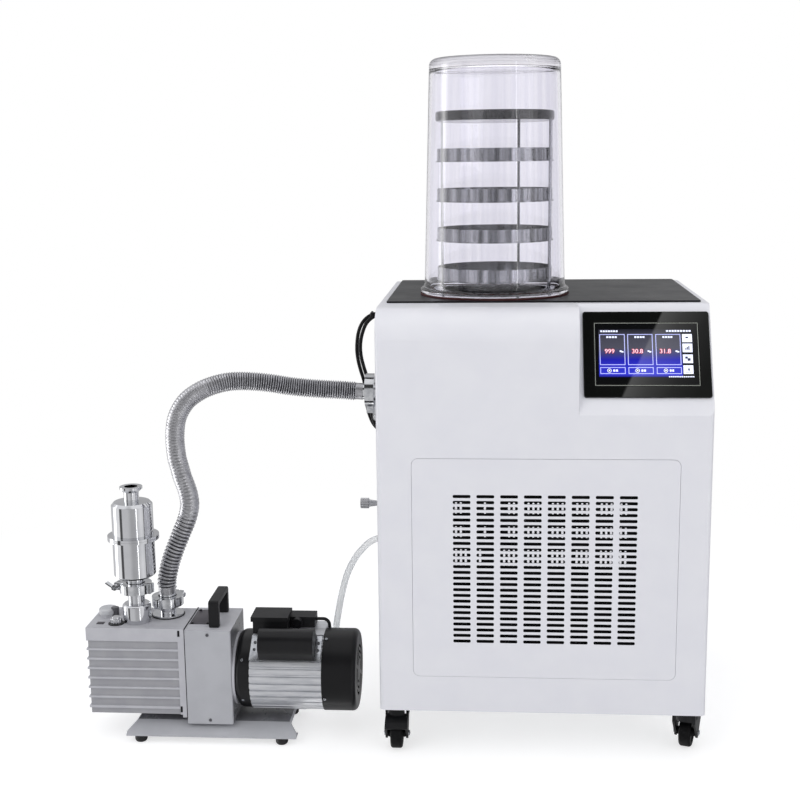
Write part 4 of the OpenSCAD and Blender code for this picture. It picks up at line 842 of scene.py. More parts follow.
    def world(self) -> None:
        """Sets an even pale surround: white to the eye and through glass, and in bands for polished metal.

        The bands stand round the object as a studio's screens and gaps do, and a window high in front ends in a
        straight edge that the sloped screen mirrors.
        """
        world = bpy.data.worlds.new("studio")
        world.use_nodes = True
        bpy.context.scene.world = world
        tree = world.node_tree
        tree.nodes.clear()
        path = add(tree, "LightPath").outputs
        view = add(tree, "TexCoord").outputs["Generated"]
        parts = add(tree, "SeparateXYZ", [view]).outputs
        ahead = add(tree, "Math", [parts[1], -1.0], operation="MULTIPLY").outputs[0]
        turn = add(tree, "Math", [parts[0], ahead], operation="ARCTAN2").outputs[0]
        around = add(tree, "MapRange", [turn, -math.pi, math.pi]).outputs[0]
        stops = [(0.5 + at / 360, (v, v, min(1.0, v * self.band_blue), 1)) for at, v in self.bands]
        room = add(tree, "ValToRGB", [around], stops).outputs[0]
        for at, half, power in self.strips:
            off = add(tree, "Math", [turn, math.radians(at)], operation="SUBTRACT").outputs[0]
            off = add(tree, "Math", [off], operation="ABSOLUTE").outputs[0]
            lit = add(tree, "MapRange", [off, 0.0, math.radians(half), power, 0.0]).outputs[0]
            room = add(tree, "Mix", {0: 1.0, 6: room, 7: lit}, data_type="RGBA", blend_type="ADD").outputs[2]
        high = add(tree, "MapRange", [parts[2], *self.window_rise]).outputs[0]
        front = add(tree, "MapRange", [ahead, *self.window_front]).outputs[0]
        upper = add(tree, "Mix", {0: high, 6: room, 7: self.ceiling}, data_type="RGBA").outputs[2]
        side = add(tree, "VectorMath", [view, self.window_edge], operation="DOT_PRODUCT").outputs["Value"]
        past = add(tree, "MapRange", [side, *self.window_edge_width]).outputs[0]
        fade = add(tree, "ValToRGB", [past], [(at, (v, v, v, 1)) for at, v in self.window]).outputs[0]
        window = add(tree, "Mix", {0: 1.0, 6: fade, 7: self.window_light}, data_type="RGBA",
                     blend_type="MULTIPLY")
        both = add(tree, "Math", [high, front], operation="MULTIPLY").outputs[0]
        glossy = add(tree, "Mix", {0: both, 6: upper, 7: window.outputs[2]}, data_type="RGBA").outputs[2]
        diffuse = add(tree, "Background", {"Color": self.air_colour, "Strength": self.air}).outputs[0]
        mirror = add(tree, "Background", {"Color": glossy, "Strength": 1.0}).outputs[0]
        white = add(tree, "Background", {"Color": WHITE, "Strength": 1.0}).outputs[0]
        rays = [path["Is Camera Ray"], path["Is Transmission Ray"]]
        clear = add(tree, "Math", rays, operation="MAXIMUM").outputs[0]
        first = add(tree, "MixShader", [path["Is Glossy Ray"], diffuse, mirror]).outputs[0]
        second = add(tree, "MixShader", [clear, first, white]).outputs[0]
        add(tree, "OutputWorld", [second])

    def light(self, name: str, at: Point, aim: Point, size: tuple[float, float], power: float) -> None:
        """Adds a soft box.

        Args:
            name: Its name.
            at: Its place in metres.
            aim: Where it points.
            size: Its width and height in metres.
            power: Its power in watts.
        """
        data = bpy.data.lights.new(name, "AREA")
        data.shape, data.size, data.size_y, data.energy = "RECTANGLE", size[0], size[1], power
        lamp = bpy.data.objects.new(name, data)
        lamp.location = at
        lamp.rotation_euler = (Vector(aim) - Vector(at)).to_track_quat("-Z", "Y").to_euler()
        lamp.visible_glossy = False
        bpy.context.scene.collection.objects.link(lamp)

    def build(self) -> None:
        """Builds everything but the camera."""
        self.floor()
        self.world()
        for box in self.boxes:
            self.light(*box)
        bpy.context.scene.view_settings.view_transform = "Standard"


# ---------------------------------------------------------------- cords


@dataclass
class Cords:
    """The vacuum hose, the drain tube and the two sensor cables, with the cables' tie."""

    # Routes in mm, each seen from its own start.
    hose_route: Sequence[Point] = (
        (0, 0, 0), (-19, 0, 1), (-41, -2, 3), (-71, -5, 5), (-101, -9, 8), (-130, -14, 12), (-159, -21, 18),
        (-187, -27, 22), (-215, -34, 24), (-237, -41, 23), (-256, -48, 19), (-273, -54, 13), (-289, -60, 4),
        (-301, -65, -6), (-310, -71, -19), (-316, -77, -34), (-318, -83, -50), (-318, -89, -68),
        (-316, -94, -84), (-313, -99, -100), (-308, -103, -116), (-303, -107, -131), (-297, -110, -146),
        (-292, -114, -161), (-290, -117, -176), (-292, -120, -191), (-297, -123, -207), (-304, -125, -223),
        (-311, -127, -240), (-318, -129, -257), (-324, -130, -274), (-328.5, -131, -291), (-332, -132, -309),
        (-332, -132, -330))
    drain_route: Sequence[Point] = (
        (0, 0, 0), (-6, 0, 0), (-15, -1, -3), (-26, -2, -10), (-36, -4, -20), (-46, -7, -32), (-55, -10, -47),
        (-63, -14, -65), (-69, -18, -86), (-74, -22, -108), (-78, -25, -130), (-82, -28, -154),
        (-85, -30, -178), (-89, -32, -202), (-95, -33, -226), (-104, -33, -249), (-117, -33, -269),
        (-134, -33, -284), (-154, -32, -292), (-176, -31, -293.9), (-202, -29, -293.9), (-230, -26, -293.9),
        (-258, -22, -293.9), (-286, -17, -293.9), (-314, -11, -293.9), (-342, -4, -293.9))
    cable_routes: Sequence[Sequence[Point]] = (
        ((0, 0, 0), (-12, 0, 0), (-23, 0, -3), (-33, 0, -10), (-41, 0, -21), (-46, 0, -35), (-48.5, 0, -51),
         (-49, 0, -68), (-47, 0, -85), (-43, 0, -102), (-38, 0, -119), (-35, 0, -136), (-33.5, 0, -153),
         (-32, 0, -169), (-28, 0, -185), (-22, 0, -199), (-13, 0, -209), (0, 0, -212)),
        ((0, 0, 0), (-5, 0, 0), (-12, 0, -2), (-21, 0, -7), (-30, 0, -16), (-36, 0, -29), (-40, 0, -44),
         (-41.5, 0, -60), (-40, 0, -77), (-36, 0, -94), (-31, 0, -111), (-27, 0, -128), (-25.5, 0, -145),
         (-25, 0, -162), (-23, 0, -179), (-19, 0, -194), (-12, 0, -206), (0, 0, -212)))
    # Where each starts. The cables differ by their y.
    hose_from: Point = (-60, -5, 568)
    drain_from: Point = (-31, -5, 300)
    cable_x: float = -26.0
    cable_z: float = 700.0
    cable_ys: Sequence[float] = (42, 30)
    # Share of the hose's length, and how deep its rings are there.
    hose_depth: Sequence[tuple[float, float]] = (
        (0.0, 1.0), (0.28, 0.9), (0.40, 0.45), (0.46, 0.22), (0.77, 0.22), (0.86, 1.0), (1.0, 1.0))
    hose_crest: float = 16.5
    hose_fold: float = 2.7
    # Below 1, crests are wider than grooves. Rings shallower than the groove's share have no dark groove.
    hose_roundness: float = 0.7
    hose_groove: float = 0.4
    hose_cuff: float = 14.6
    hose_cuff_length: float = 13.0
    # Distance between rings at the start and the end, and the share where it starts to grow and grows over.
    hose_pitch: tuple[float, float] = (4.1, 6.2)
    hose_widens: tuple[float, float] = (0.35, 0.5)
    hose_steps: int = 8
    hose_sides: int = 24
    drain_r: float = 5.8
    drain_step: float = 6.0
    drain_mouth: float = 8.0
    drain_sides: int = 20
    cable_r: float = 3.2
    cable_step: float = 4.0
    cable_sides: int = 14
    tie_margin: float = 5.0
    tie_x: tuple[float, float] = (-49.0, -44.0)
    tie_z: tuple[float, float] = (694.2, 704.2)

    @staticmethod
    def path(route: Sequence[Point], start: Point, step: float) -> list[Vector]:
        """Gives the smooth path of a route from where it starts, in mm."""
        return smooth_path([[a + b for a, b in zip(start, p)] for p in route], step)

    @staticmethod
    def declare(piece: bpy.types.Object, path: Sequence[Vector], diameter: float, **facts: str) -> None:
        """Takes a cord and its facts, and does nothing with them.

        Args:
            piece: The cord. Not used.
            path: The points that it follows, in mm. Not used.
            diameter: Its diameter in metres. Not used.
            **facts: Its far end, its stiffness and how it lies. Not used.
        """

    def depth(self, share: float) -> float:
        """Gives how deep the hose's rings are at a share of its length: shallow where its bends stretch it."""
        for (a, low), (b, high) in zip(self.hose_depth, self.hose_depth[1:]):
            if share <= b:
                return low + (high - low) * (share - a) / (b - a)
        return 1.0

    def hose(self) -> None:
        """Makes the corrugated steel hose with a plain cuff at each end."""
        first, last = self.hose_pitch
        step = first / self.hose_steps
        path = self.path(self.hose_route, self.hose_from, step)
        count = len(path) - 1
        turns = [0.0]
        for k in range(count):
            share = min(1.0, max(0.0, (k / count - self.hose_widens[0]) / self.hose_widens[1]))
            turns.append(turns[-1] + first / self.hose_steps / (first + (last - first) * share))
        cuff = self.hose_cuff_length / step
        wave = [0.5 + 0.5 * math.cos(2 * math.pi * turn) for turn in turns]
        deep = [self.depth(k / count) for k in range(count + 1)]
        rings = [self.hose_crest - self.hose_fold * d * (1 - w**self.hose_roundness) for w, d in zip(wave, deep)]
        radii = [self.hose_cuff if min(k, count - k) < cuff else r for k, r in enumerate(rings)]
        bm = bmesh.new()
        tube(bm, path, radii, self.hose_sides)
        bm.faces.ensure_lookup_table()
        for k in range(count):
            low = wave[k] + wave[k + 1] < 0.5 * min(1.0, deep[k] * 1.4)
            if cuff < k < count - cuff and low and deep[k] > self.hose_groove:
                for face in bm.faces[k * self.hose_sides : (k + 1) * self.hose_sides]:
                    face.material_index = 1
        piece = finished("vacuum_hose_bellows", bm, [BELLOWS, BELLOWS_ROOT], replaced=["vacuum_hose"], sharp=70)
        self.declare(piece, path, 0.032, far_end="object", stiffness="stiff", lay="loose")

    def drain(self) -> None:
        """Makes the soft drain tube, which ends open on the floor behind the pump."""
        path = self.path(self.drain_route, self.drain_from, self.drain_step)
        bm = bmesh.new()
        tube(bm, path, [self.drain_r] * len(path), self.drain_sides, bore=self.drain_mouth)
        piece = finished("drain_tube_soft", bm, PVC, replaced=["drain_tube"], sharp=50)
        self.declare(piece, path, 0.0116, far_end="bare", stiffness="limp", lay="hanging")

    def cables(self) -> None:
        """Makes the two sensor cables and the tie that holds them together."""
        for name, route, y in zip("ab", self.cable_routes, self.cable_ys):
            path = self.path(route, (self.cable_x, y, self.cable_z), self.cable_step)
            bm = bmesh.new()
            tube(bm, path, [self.cable_r] * len(path), self.cable_sides)
            piece = finished(f"sensor_cable_{name}_jacket", bm, JACKET, replaced=[f"sensor_cable_{name}"],
                             sharp=50)
            self.declare(piece, path, 0.0064, far_end="object", stiffness="medium", lay="hanging")
        bm = bmesh.new()
        (x0, x1), (z0, z1) = self.tie_x, self.tie_z
        low, high = min(self.cable_ys) - self.tie_margin, max(self.cable_ys) + self.tie_margin
        block(bm, (x0, low, z0), (x1, high, z1), 2.4)
        block(bm, (x0 + 0.5, high - 1.5, z0 + 2.3), (x1 - 0.5, high + 2.5, z1 - 2.7), 0.8)
        finished("sensor_cable_tie", bm, MOULDED)

    def build(self) -> None:
        """Builds the cords."""
        self.hose()
        self.drain()
        self.cables()


# ---------------------------------------------------------------- cabinet


@dataclass
class Cabinet:
    """The white casing, the black top plate, the slots with a black sheet of painted shade behind them, and what
    is inside.
    """

    sheet_angle: float = 26.0
    # The slots: their columns and rows, the distance between them, a slot's width and how far it is opened.
    slot_cols: int = 8
    slot_rows: int = 26
    slot_dx: float = 37.7
    slot_dz: float = 9.7
    slot_w: float = 27.4
    slot_ease: float = 0.5
    grille_x: float = 251.0
    grille_z: float = 319.5
    # The black sheet of painted shade behind them: half its width and height, and its front and back from the
    # cabinet's front.
    shade_sheet_half: tuple[float, float] = (160.0, 136.0)
    shade_sheet_y: tuple[float, float] = (4.0, 5.2)
    # The strips of light: the distance between them, the first one's place in a slot, their width and lift,
    # and how near a slot's end one may be.
    vent_dx: float = 7.7
    vent_first: float = 4.6
    vent_w: float = 3.6
    vent_lift: float = 0.5
    vent_margin: float = 2.4
    # From row to row of the slots, which of the three strips show in each column.
    vent_rows: Sequence[tuple[float, float, str]] = (
        (2.05, 4.0, "110 010 011 111 111 111 111 110"),
        (6.15, 8.0, "110 010 011 111 111 111 111 110"),
        (10.1, 12.9, "111 100 111 111 111 111 111 110"))
    # What the cabinet holds, shown as it is.
    held: Sequence[tuple[str, Finish]] = (
        ("base_frame", GALVANISED), ("control_box", GALVANISED), ("trap_insulation", FOAM),
        ("evaporator_coil", COPPER), ("compressor", BLACK_PAINT), ("condenser", ALUMINIUM),
        ("fan_shroud", MOULDED), ("fan_blades", FAN))

    @property
    def top_row(self) -> float:
        """Gives the height of the top row of slots in mm."""
        return self.grille_z + (self.slot_rows - 1) / 2 * self.slot_dz

    def casing(self) -> None:
        """Dresses the casing's sheets, their edges rounded, and opens the slots a little and paints their own
        walls black, as painted shade.
        """
        for node, finish, radius in (("front_shell", POWDER, 0.8), ("cabinet_wrap", POWDER, 0.6),
                                     ("top_panel", POWDER, 0.6), ("top_plate", ENAMEL, 0.6)):
            refined(node, finish, radius, angle=self.sheet_angle)
        bm = bmesh.new()
        bm.from_mesh(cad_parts["grille_panel"].data)
        bmesh.ops.remove_doubles(bm, verts=bm.verts, dist=MERGE)
        half_w, half_h = self.slot_cols / 2 * self.slot_dx, self.slot_rows / 2 * self.slot_dz
        # Painted shade: the slots' own walls, which look across the panel, take the black finish.
        for face in bm.faces:
            middle = face.calc_center_median() / MM
            within = abs(middle.x - self.grille_x) < half_w and abs(middle.z - self.grille_z) < half_h
            face.material_index = int(abs(face.normal.y) < 0.5 and within)
        for vert in bm.verts:
            x, z = vert.co.x / MM, vert.co.z / MM
            if abs(x - self.grille_x) < half_w and abs(z - self.grille_z) < half_h:
                row = self.top_row - round((self.top_row - z) / self.slot_dz) * self.slot_dz
                column = self.grille_x + (math.floor((x - self.grille_x) / self.slot_dx) + 0.5) * self.slot_dx
                vert.co.z += math.copysign(self.slot_ease, z - row) * MM if abs(z - row) > 1.0 else 0.0
                vert.co.x += math.copysign(self.slot_ease, x - column) * MM
        finished("grille_panel_skin", bm, [POWDER, SHADE_BLACK], replaced=["grille_panel"], sharp=self.sheet_angle,
                 outward=False)

    def shade_sheet(self) -> None:
        """Hangs a black sheet of painted shade behind the slots, with pale strips of painted light glowing on it
        for the rear vents' daylight.
        """
        bm = bmesh.new()
        half_w, half_h = self.shade_sheet_half
        y0, y1 = (CAD.front_y + y for y in self.shade_sheet_y)
        block(bm, (self.grille_x - half_w, y0, self.grille_z - half_h),
              (self.grille_x + half_w, y1, self.grille_z + half_h), 0.3)
        # A strip is one flat face that looks to the front already, so only the black sheet is turned outward.
        bmesh.ops.recalc_face_normals(bm, faces=bm.faces)
        first = self.grille_x - (self.slot_cols - 1) / 2 * self.slot_dx - self.slot_w / 2 + self.vent_first
        for high, low, mask in self.vent_rows:
            z1, z0 = (self.top_row - (row - 1) * self.slot_dz for row in (high, low))
            for column, shown in enumerate(mask.split()):
                left = column * self.slot_dx + self.vent_margin - self.vent_first
                for k, mark in enumerate(shown, math.ceil(left / self.vent_dx)):
                    if mark == "1":
                        self.strip(bm, first + k * self.vent_dx, y0 - self.vent_lift, z0, z1)
        finished("painted_shade_sheet", bm, [SHADE_BLACK, VENT_GLOW], outward=False)

    def strip(self, bm: Mesh, x: float, y: float, z0: float, z1: float) -> None:
        """Adds one upright strip with round ends.

        Args:
            bm: Where it is added.
            x: Its middle across the cabinet in mm.
            y: Where it lies, in mm.
            z0: Its lower end in mm.
            z1: Its upper end in mm.
        """
        made = bmesh.ops.create_circle(bm, cap_ends=True, segments=16, radius=self.vent_w / 2 * MM)["verts"]
        bmesh.ops.rotate(bm, verts=made, cent=(0, 0, 0), matrix=Matrix.Rotation(math.pi / 2, 3, "X"))
        half = ((z1 - z0) - self.vent_w) / 2 * MM
        for v in made:
            v.co.z += half if v.co.z > TINY else -half
        bmesh.ops.translate(bm, verts=made, vec=(x * MM, y * MM, (z0 + z1) / 2 * MM))
        paint(made, 1)

    def build(self) -> None:
        """Builds the cabinet and dresses what it holds."""
        self.casing()
        self.shade_sheet()
        for node, finish in self.held:
            dress(node, finish)
        refine_each(("power_inlet", MOULDED, 0.8), ("power_rocker", RED_ROCKER, 0.8, Body.MAINS))


@dataclass
class Console:
    """The sloped touch screen: bezel, glass, lit panel and its plain marks.

    A box on the screen is its left, right, lower and upper side in mm from the screen's middle.
    """

    # The slope: how far it rises and runs back, and its low corner. The screen's middle on it: mm across,
    # the share of the slope, and the lift in mm.
    rise: float = 165.0
    run: float = 92.0
    low: Point = (248.0, CAD.front_y, 573.0)
    centre: tuple[float, float, float] = (162.5, 0.534, 4.0)
    screen: tuple[float, float] = (163.0, 106.0)
    lit: Point = (-75.0, 55.2, -38.6, 42.0)
    # The border's inset and width.
    line: tuple[float, float] = (0.2, 0.7)
    panels: Sequence[tuple[float, float]] = ((-73.5, -33.6), (-29.5, 10.0), (14.5, 53.6))
    panel_v: tuple[float, float] = (-18.5, 33.6)
    button_v: tuple[float, float] = (-33.4, -22.2)
    frame_width: float = 1.1
    # Captions: left, right, middle height, height and count of their blocks, on each panel and on the screen.
    panel_captions: Sequence[Point] = ((10.5, -12.0, 28.6, 3.0, 4), (20.0, -11.5, -27.8, 3.6, 2))
    captions: Sequence[Point] = (
        (-72.3, -44.0, 38.6, 2.9, 7), (31.0, 70.5, 38.9, 2.9, 9), (33.0, 73.0, -38.0, 1.9, 14))
    # Where a caption's block starts and ends, as shares of its step.
    dash: tuple[float, float] = (0.12, 0.88)
    # Signs for the units, from a panel's right side, and their lift.
    units: Sequence[tuple[Point, float]] = (((-8.4, -5.4, 3.6, 6.0), 0.08), ((-6.2, -2.6, 2.6, 4.8), 0.085))
    numerals: Sequence[tuple[str, float]] = (("999", -57.8), ("30.8", -14.3), ("31.8", 29.2))
    numeral_v: float = 4.4
    numeral_size: float = 10.4
    # Red under white: the lift, how far the outline is let out, and the material's number.
    numeral_layers: Sequence[tuple[float, float, int]] = ((0.09, 0.5, 1), (0.13, -0.12, 0))
    # The ring on a button: its place from the panel's left side, its height and its radius.
    button_ring: Point = (14.6, -27.8, 3.4)
    # Share of its radius, lift and material's number.
    ring_layers: Sequence[tuple[float, float, int]] = ((1.0, 0.08, 0), (0.72, 0.10, 2), (0.36, 0.12, 0))
    icon_x: tuple[float, float] = (56.3, 71.6)
    icon_v: Sequence[tuple[float, float]] = ((19.9, 33.6), (2.9, 17.5), (-15.3, -0.9), (-33.4, -19.0))
    # A bar, a chart, two sheets and an arrow: the button, the box round its middle, and the lift.
    signs: Sequence[tuple[int, Point, float]] = (
        (0, (-2.4, 1.8, -0.2, 2.2), 0.12), (1, (-3.4, -1.7, -2.0, 0.2), 0.12),
        (1, (-1.0, 0.7, -2.0, 1.6), 0.12), (1, (1.4, 3.1, -2.0, 3.2), 0.12),
        (1, (-4.2, 4.2, -3.6, -2.7), 0.12), (2, (-4.2, -0.2, 0.2, 3.8), 0.12),
        (2, (-0.6, 4.0, -3.4, 1.0), 0.13), (3, (-1.0, 2.4, -0.4, 1.0), 0.12),
        (3, (0.2, 1.6, -2.6, 3.2), 0.12), (3, (-4.0, 4.0, -4.6, -3.8), 0.12))
    # Faces of the bezel larger than this, in square metres, stay flat.
    big_face: float = 4e-5

    def place(self) -> Matrix:
        """Gives the transform from the screen's own frame, in metres, to the row frame."""
        across, share, lift = self.centre
        slope = Matrix.Rotation(math.atan2(self.rise, self.run), 4, "X")
        middle = Matrix.Translation((across * MM, math.hypot(self.rise, self.run) * share * MM, lift * MM))
        return Matrix.Translation(Vector(self.low) * MM) @ slope @ middle

    def flat(self, bm: Mesh, box: Point, lift: float = 0.08, material: int = 0) -> None:
        """Adds a flat mark.

        Args:
            bm: Where it is added.
            box: The box that it fills.
            lift: Height over the glass in mm.
            material: Its material number.
        """
        x0, x1, v0, v1 = box
        made = bmesh.ops.create_grid(bm, x_segments=1, y_segments=1, size=0.5)["verts"]
        spot = Matrix.Translation(((x0 + x1) / 2 * MM, (v0 + v1) / 2 * MM, lift * MM))
        size = Matrix.Diagonal(((x1 - x0) * MM, (v1 - v0) * MM, 1, 1))
        bmesh.ops.transform(bm, matrix=spot @ size, verts=made)
        paint(made, material)

    def outline(self, bm: Mesh, box: Point, w: float, lift: float = 0.08, material: int = 0) -> None:
        """Adds a box's outline as four bars.

        Args:
            bm: Where they are added.
            box: The box.
            w: Width of a bar in mm.
            lift: Height over the glass in mm.
            material: Their material number.
        """
        x0, x1, v0, v1 = box
        for bar in ((x0, x1, v1 - w, v1), (x0, x1, v0, v0 + w), (x0, x0 + w, v0 + w, v1 - w),
                    (x1 - w, x1, v0 + w, v1 - w)):
            self.flat(bm, bar, lift, material)

    def dashes(self, bm: Mesh, x0: float, x1: float, v: float, height: float, count: int) -> None:
        """Adds a row of small plain blocks, where a caption would stand.

        Args:
            bm: Where they are added.
            x0: The row's left end in mm.
            x1: Its right end in mm.
            v: Its middle height in mm.
            height: Height of a block in mm.
            count: How many blocks it has.
        """
        step = (x1 - x0) / count
        for k in range(count):
            left, right = (x0 + (k + share) * step for share in self.dash)
            self.flat(bm, (left, right, v - height / 2, v + height / 2))

    def write(self, bm: Mesh, words: str, x: float, lift: float, bold: float, material: int) -> None:
        """Adds plain numerals, centred.

        Args:
            bm: Where they are added.
            words: The numerals.
            x: Their middle across the screen in mm.
            lift: Height over the glass in mm.
            bold: How far their outlines are let out in mm.
            material: Their material number.
        """
        curve = bpy.data.curves.new("numeral", "FONT")
        curve.body, curve.size, curve.align_x, curve.align_y = words, self.numeral_size * MM, "CENTER", "CENTER"
        curve.offset, curve.resolution_u = bold * MM, 3
        thing = bpy.data.objects.new("numeral", curve)
        bpy.context.scene.collection.objects.link(thing)
        bpy.context.view_layer.update()
        mesh = bpy.data.meshes.new_from_object(thing)
        before = set(bm.verts)
        bm.from_mesh(mesh)
        made = [v for v in bm.verts if v not in before]
        bmesh.ops.translate(bm, verts=made, vec=(x * MM, self.numeral_v * MM, lift * MM))
        paint(made, material)
        bpy.data.objects.remove(thing)
        bpy.data.curves.remove(curve)
        bpy.data.meshes.remove(mesh)

    def lit_panel(self) -> None:
        """Makes the lit panel and the thin line round the display."""
        bm = bmesh.new()
        self.flat(bm, self.lit, 0.04)
        inset, width = self.line
        half_w, half_h = (side / 2 - inset for side in self.screen)
        self.outline(bm, (-half_w, half_w, -half_h, half_h), width, 0.05, 1)
        bmesh.ops.transform(bm, matrix=self.place(), verts=bm.verts)
        finished("display_panel", bm, [PANEL, LINE], outward=False)

    def marks(self) -> None:
        """Makes the frames, captions, buttons, icons and numerals."""
        bm = bmesh.new()
        for (x0, x1), (words, middle) in zip(self.panels, self.numerals):
            self.outline(bm, (x0, x1, *self.panel_v), self.frame_width, material=3)
            self.outline(bm, (x0 + 0.4, x1, *self.button_v), self.frame_width, material=3)
            for left, right, v, height, count in self.panel_captions:
                self.dashes(bm, x0 + left, x1 + right, v, height, count)
            for layer in self.numeral_layers:
                self.write(bm, words, middle, *layer)
            for (left, right, v0, v1), lift in self.units:
                self.flat(bm, (x1 + left, x1 + right, v0, v1), lift)
            self.ring_mark(bm, x0)
        for caption in self.captions:
            self.dashes(bm, *caption)
        for icon in self.icon_v:
            self.flat(bm, (*self.icon_x, *icon))
        x = sum(self.icon_x) / 2
        for button, (x0, x1, v0, v1), lift in self.signs:
            middle = sum(self.icon_v[button]) / 2
            self.flat(bm, (x + x0, x + x1, middle + v0, middle + v1), lift, 2)
        bmesh.ops.transform(bm, matrix=self.place(), verts=bm.verts)
        finished("display_marks", bm, [MARK, RED_MARK, DARK_MARK, FRAME], outward=False)

    def ring_mark(self, bm: Mesh, left: float) -> None:
        """Adds a small ring with a filled middle to the button under a panel."""
        x, v, radius = self.button_ring
        for share, lift, number in self.ring_layers:
            made = bmesh.ops.create_circle(bm, cap_ends=True, segments=20, radius=radius * share * MM)["verts"]
            bmesh.ops.translate(bm, verts=made, vec=((left + x) * MM, v * MM, lift * MM))
            paint(made, number)

    def build(self) -> None:
        """Builds the console; the bezel's big faces stay flat, so that they mirror evenly."""
        bezel = refined("screen_bezel", BEZEL, 1.0)
        for face in bezel.data.polygons:
            face.use_smooth = face.area < self.big_face
        dress("touch_screen", GLASS)
        self.lit_panel()
        self.marks()


# ---------------------------------------------------------------- drying chamber


@dataclass
class Chamber:
    """The clear jar, its seal, the rack with its trays, and the cold trap below."""

    # The jar: its foot's height above the floor, its own height, its wall and the thickness of its top.
    foot_z: float = 744.0
    height: float = 389.0
    wall: float = 5.0
    lid: float = 17.0
    # Its foot: radius, height, lower chamfer and the round of its upper edge.
    foot_r: float = 127.0
    foot_h: float = 5.0
    foot_chamfer: float = 1.0
    foot_edge: float = 2.5
    # Its wall's radius below and at the top, and the round of its shoulder, outside and inside.
    low_r: float = 119.4
    top_r: float = 109.8
    shoulder: float = 12.0
    hollow: float = 8.0
    # The flare from its foot to its wall: where it starts, how far it rises, and its turns in degrees.
    flare_from: tuple[float, float] = (2.8, 7.6)
    flare_rise: float = 19.0
    flare_turns: Sequence[float] = (82, 70, 58, 46, 34, 22, 11, 0)
    steps: int = 192
    # The cloudy rim starts this far under the top's thickness, and leaves out faces more level than this.
    rim_margin: float = 1.5
    rim_level: float = 0.98

    def jar(self) -> None:
        """Spins the jar: a flanged foot, a tapered wall and a thick flat top with a cloudy rim."""
        h, r, soft, edge = self.height, self.foot_r, self.hollow, self.foot_chamfer
        inset, start = self.flare_from
        reach = r - inset - self.low_r
        flare = [(self.low_r + reach * (1 - math.cos(t)), start + self.flare_rise * (1 - math.sin(t)))
                 for t in map(math.radians, self.flare_turns)]
        outline = [(0, h - self.lid), *arc(self.top_r - self.wall - soft, h - self.lid - soft, soft, 90, 0, 6),
                   (self.low_r - self.wall, 0), (r - edge, 0), (r, edge), (r, self.foot_h),
                   *arc(r - self.foot_edge, self.foot_h, self.foot_edge, 0, 80, 4), *flare,
                   *arc(self.top_r - self.shoulder, h - self.shoulder, self.shoulder, 0, 90, 10), (0, h)]
        bm = bmesh.new()
        lathe(bm, outline, (*CAD.trap, self.foot_z), steps=self.steps)
        rim_z = (self.foot_z + h - self.lid - self.rim_margin) * MM
        for face in bm.faces:
            steep = abs(face.normal.z) < self.rim_level
            face.material_index = int(face.calc_center_median().z > rim_z and steep)
        finished("bell_jar_clear", bm, [ACRYLIC, CLOUDY], replaced=["bell_jar"], sharp=50)

    def build(self) -> None:
        """Builds the chamber."""
        self.jar()
        refine_each(("jar_gasket", SEAL, 0.5), ("rack_frame", TRAY, 0.4), ("trays", TRAY, 0.4))
        refined("rack_cover", COVER, 1.6, segments=3)
        dress("cold_trap", STAINLESS)


# ---------------------------------------------------------------- vacuum fittings


@dataclass
class Fittings:
    """The port, clamps, release valve and cable glands on the cabinet's side."""

    # The bar over the port's clamp: its low and high corner and its round, then its nut's place and shape.
    bar: tuple[Point, Point] = ((-43.5, -13, 516), (-32, 1, 556))
    bar_soft: float = 4.5
    nut_at: Point = (-37.5, -13, 524)
    nut: Point = (4.2, 0.0, 3.0, 0.8)

    def build(self) -> None:
        """Builds the fittings."""
        refine_each(
            ("vacuum_port", POLISHED, 0.4), ("hose_flanges", POLISHED, 0.4), ("flange_clamps", CAST, 0.9),
            ("release_valve", STAINLESS, 0.3), ("cable_glands", MOULDED, 0.4),
            ("release_knob", STAINLESS, 0.4, Body.VALVE_KNOB))
        bm = bmesh.new()
        block(bm, *self.bar, self.bar_soft)
        lathe(bm, rounded_end(*self.nut), self.nut_at, Axis.Y, 6, flip=True)
        finished("port_clamp_bar", bm, CAST)


# ---------------------------------------------------------------- pump


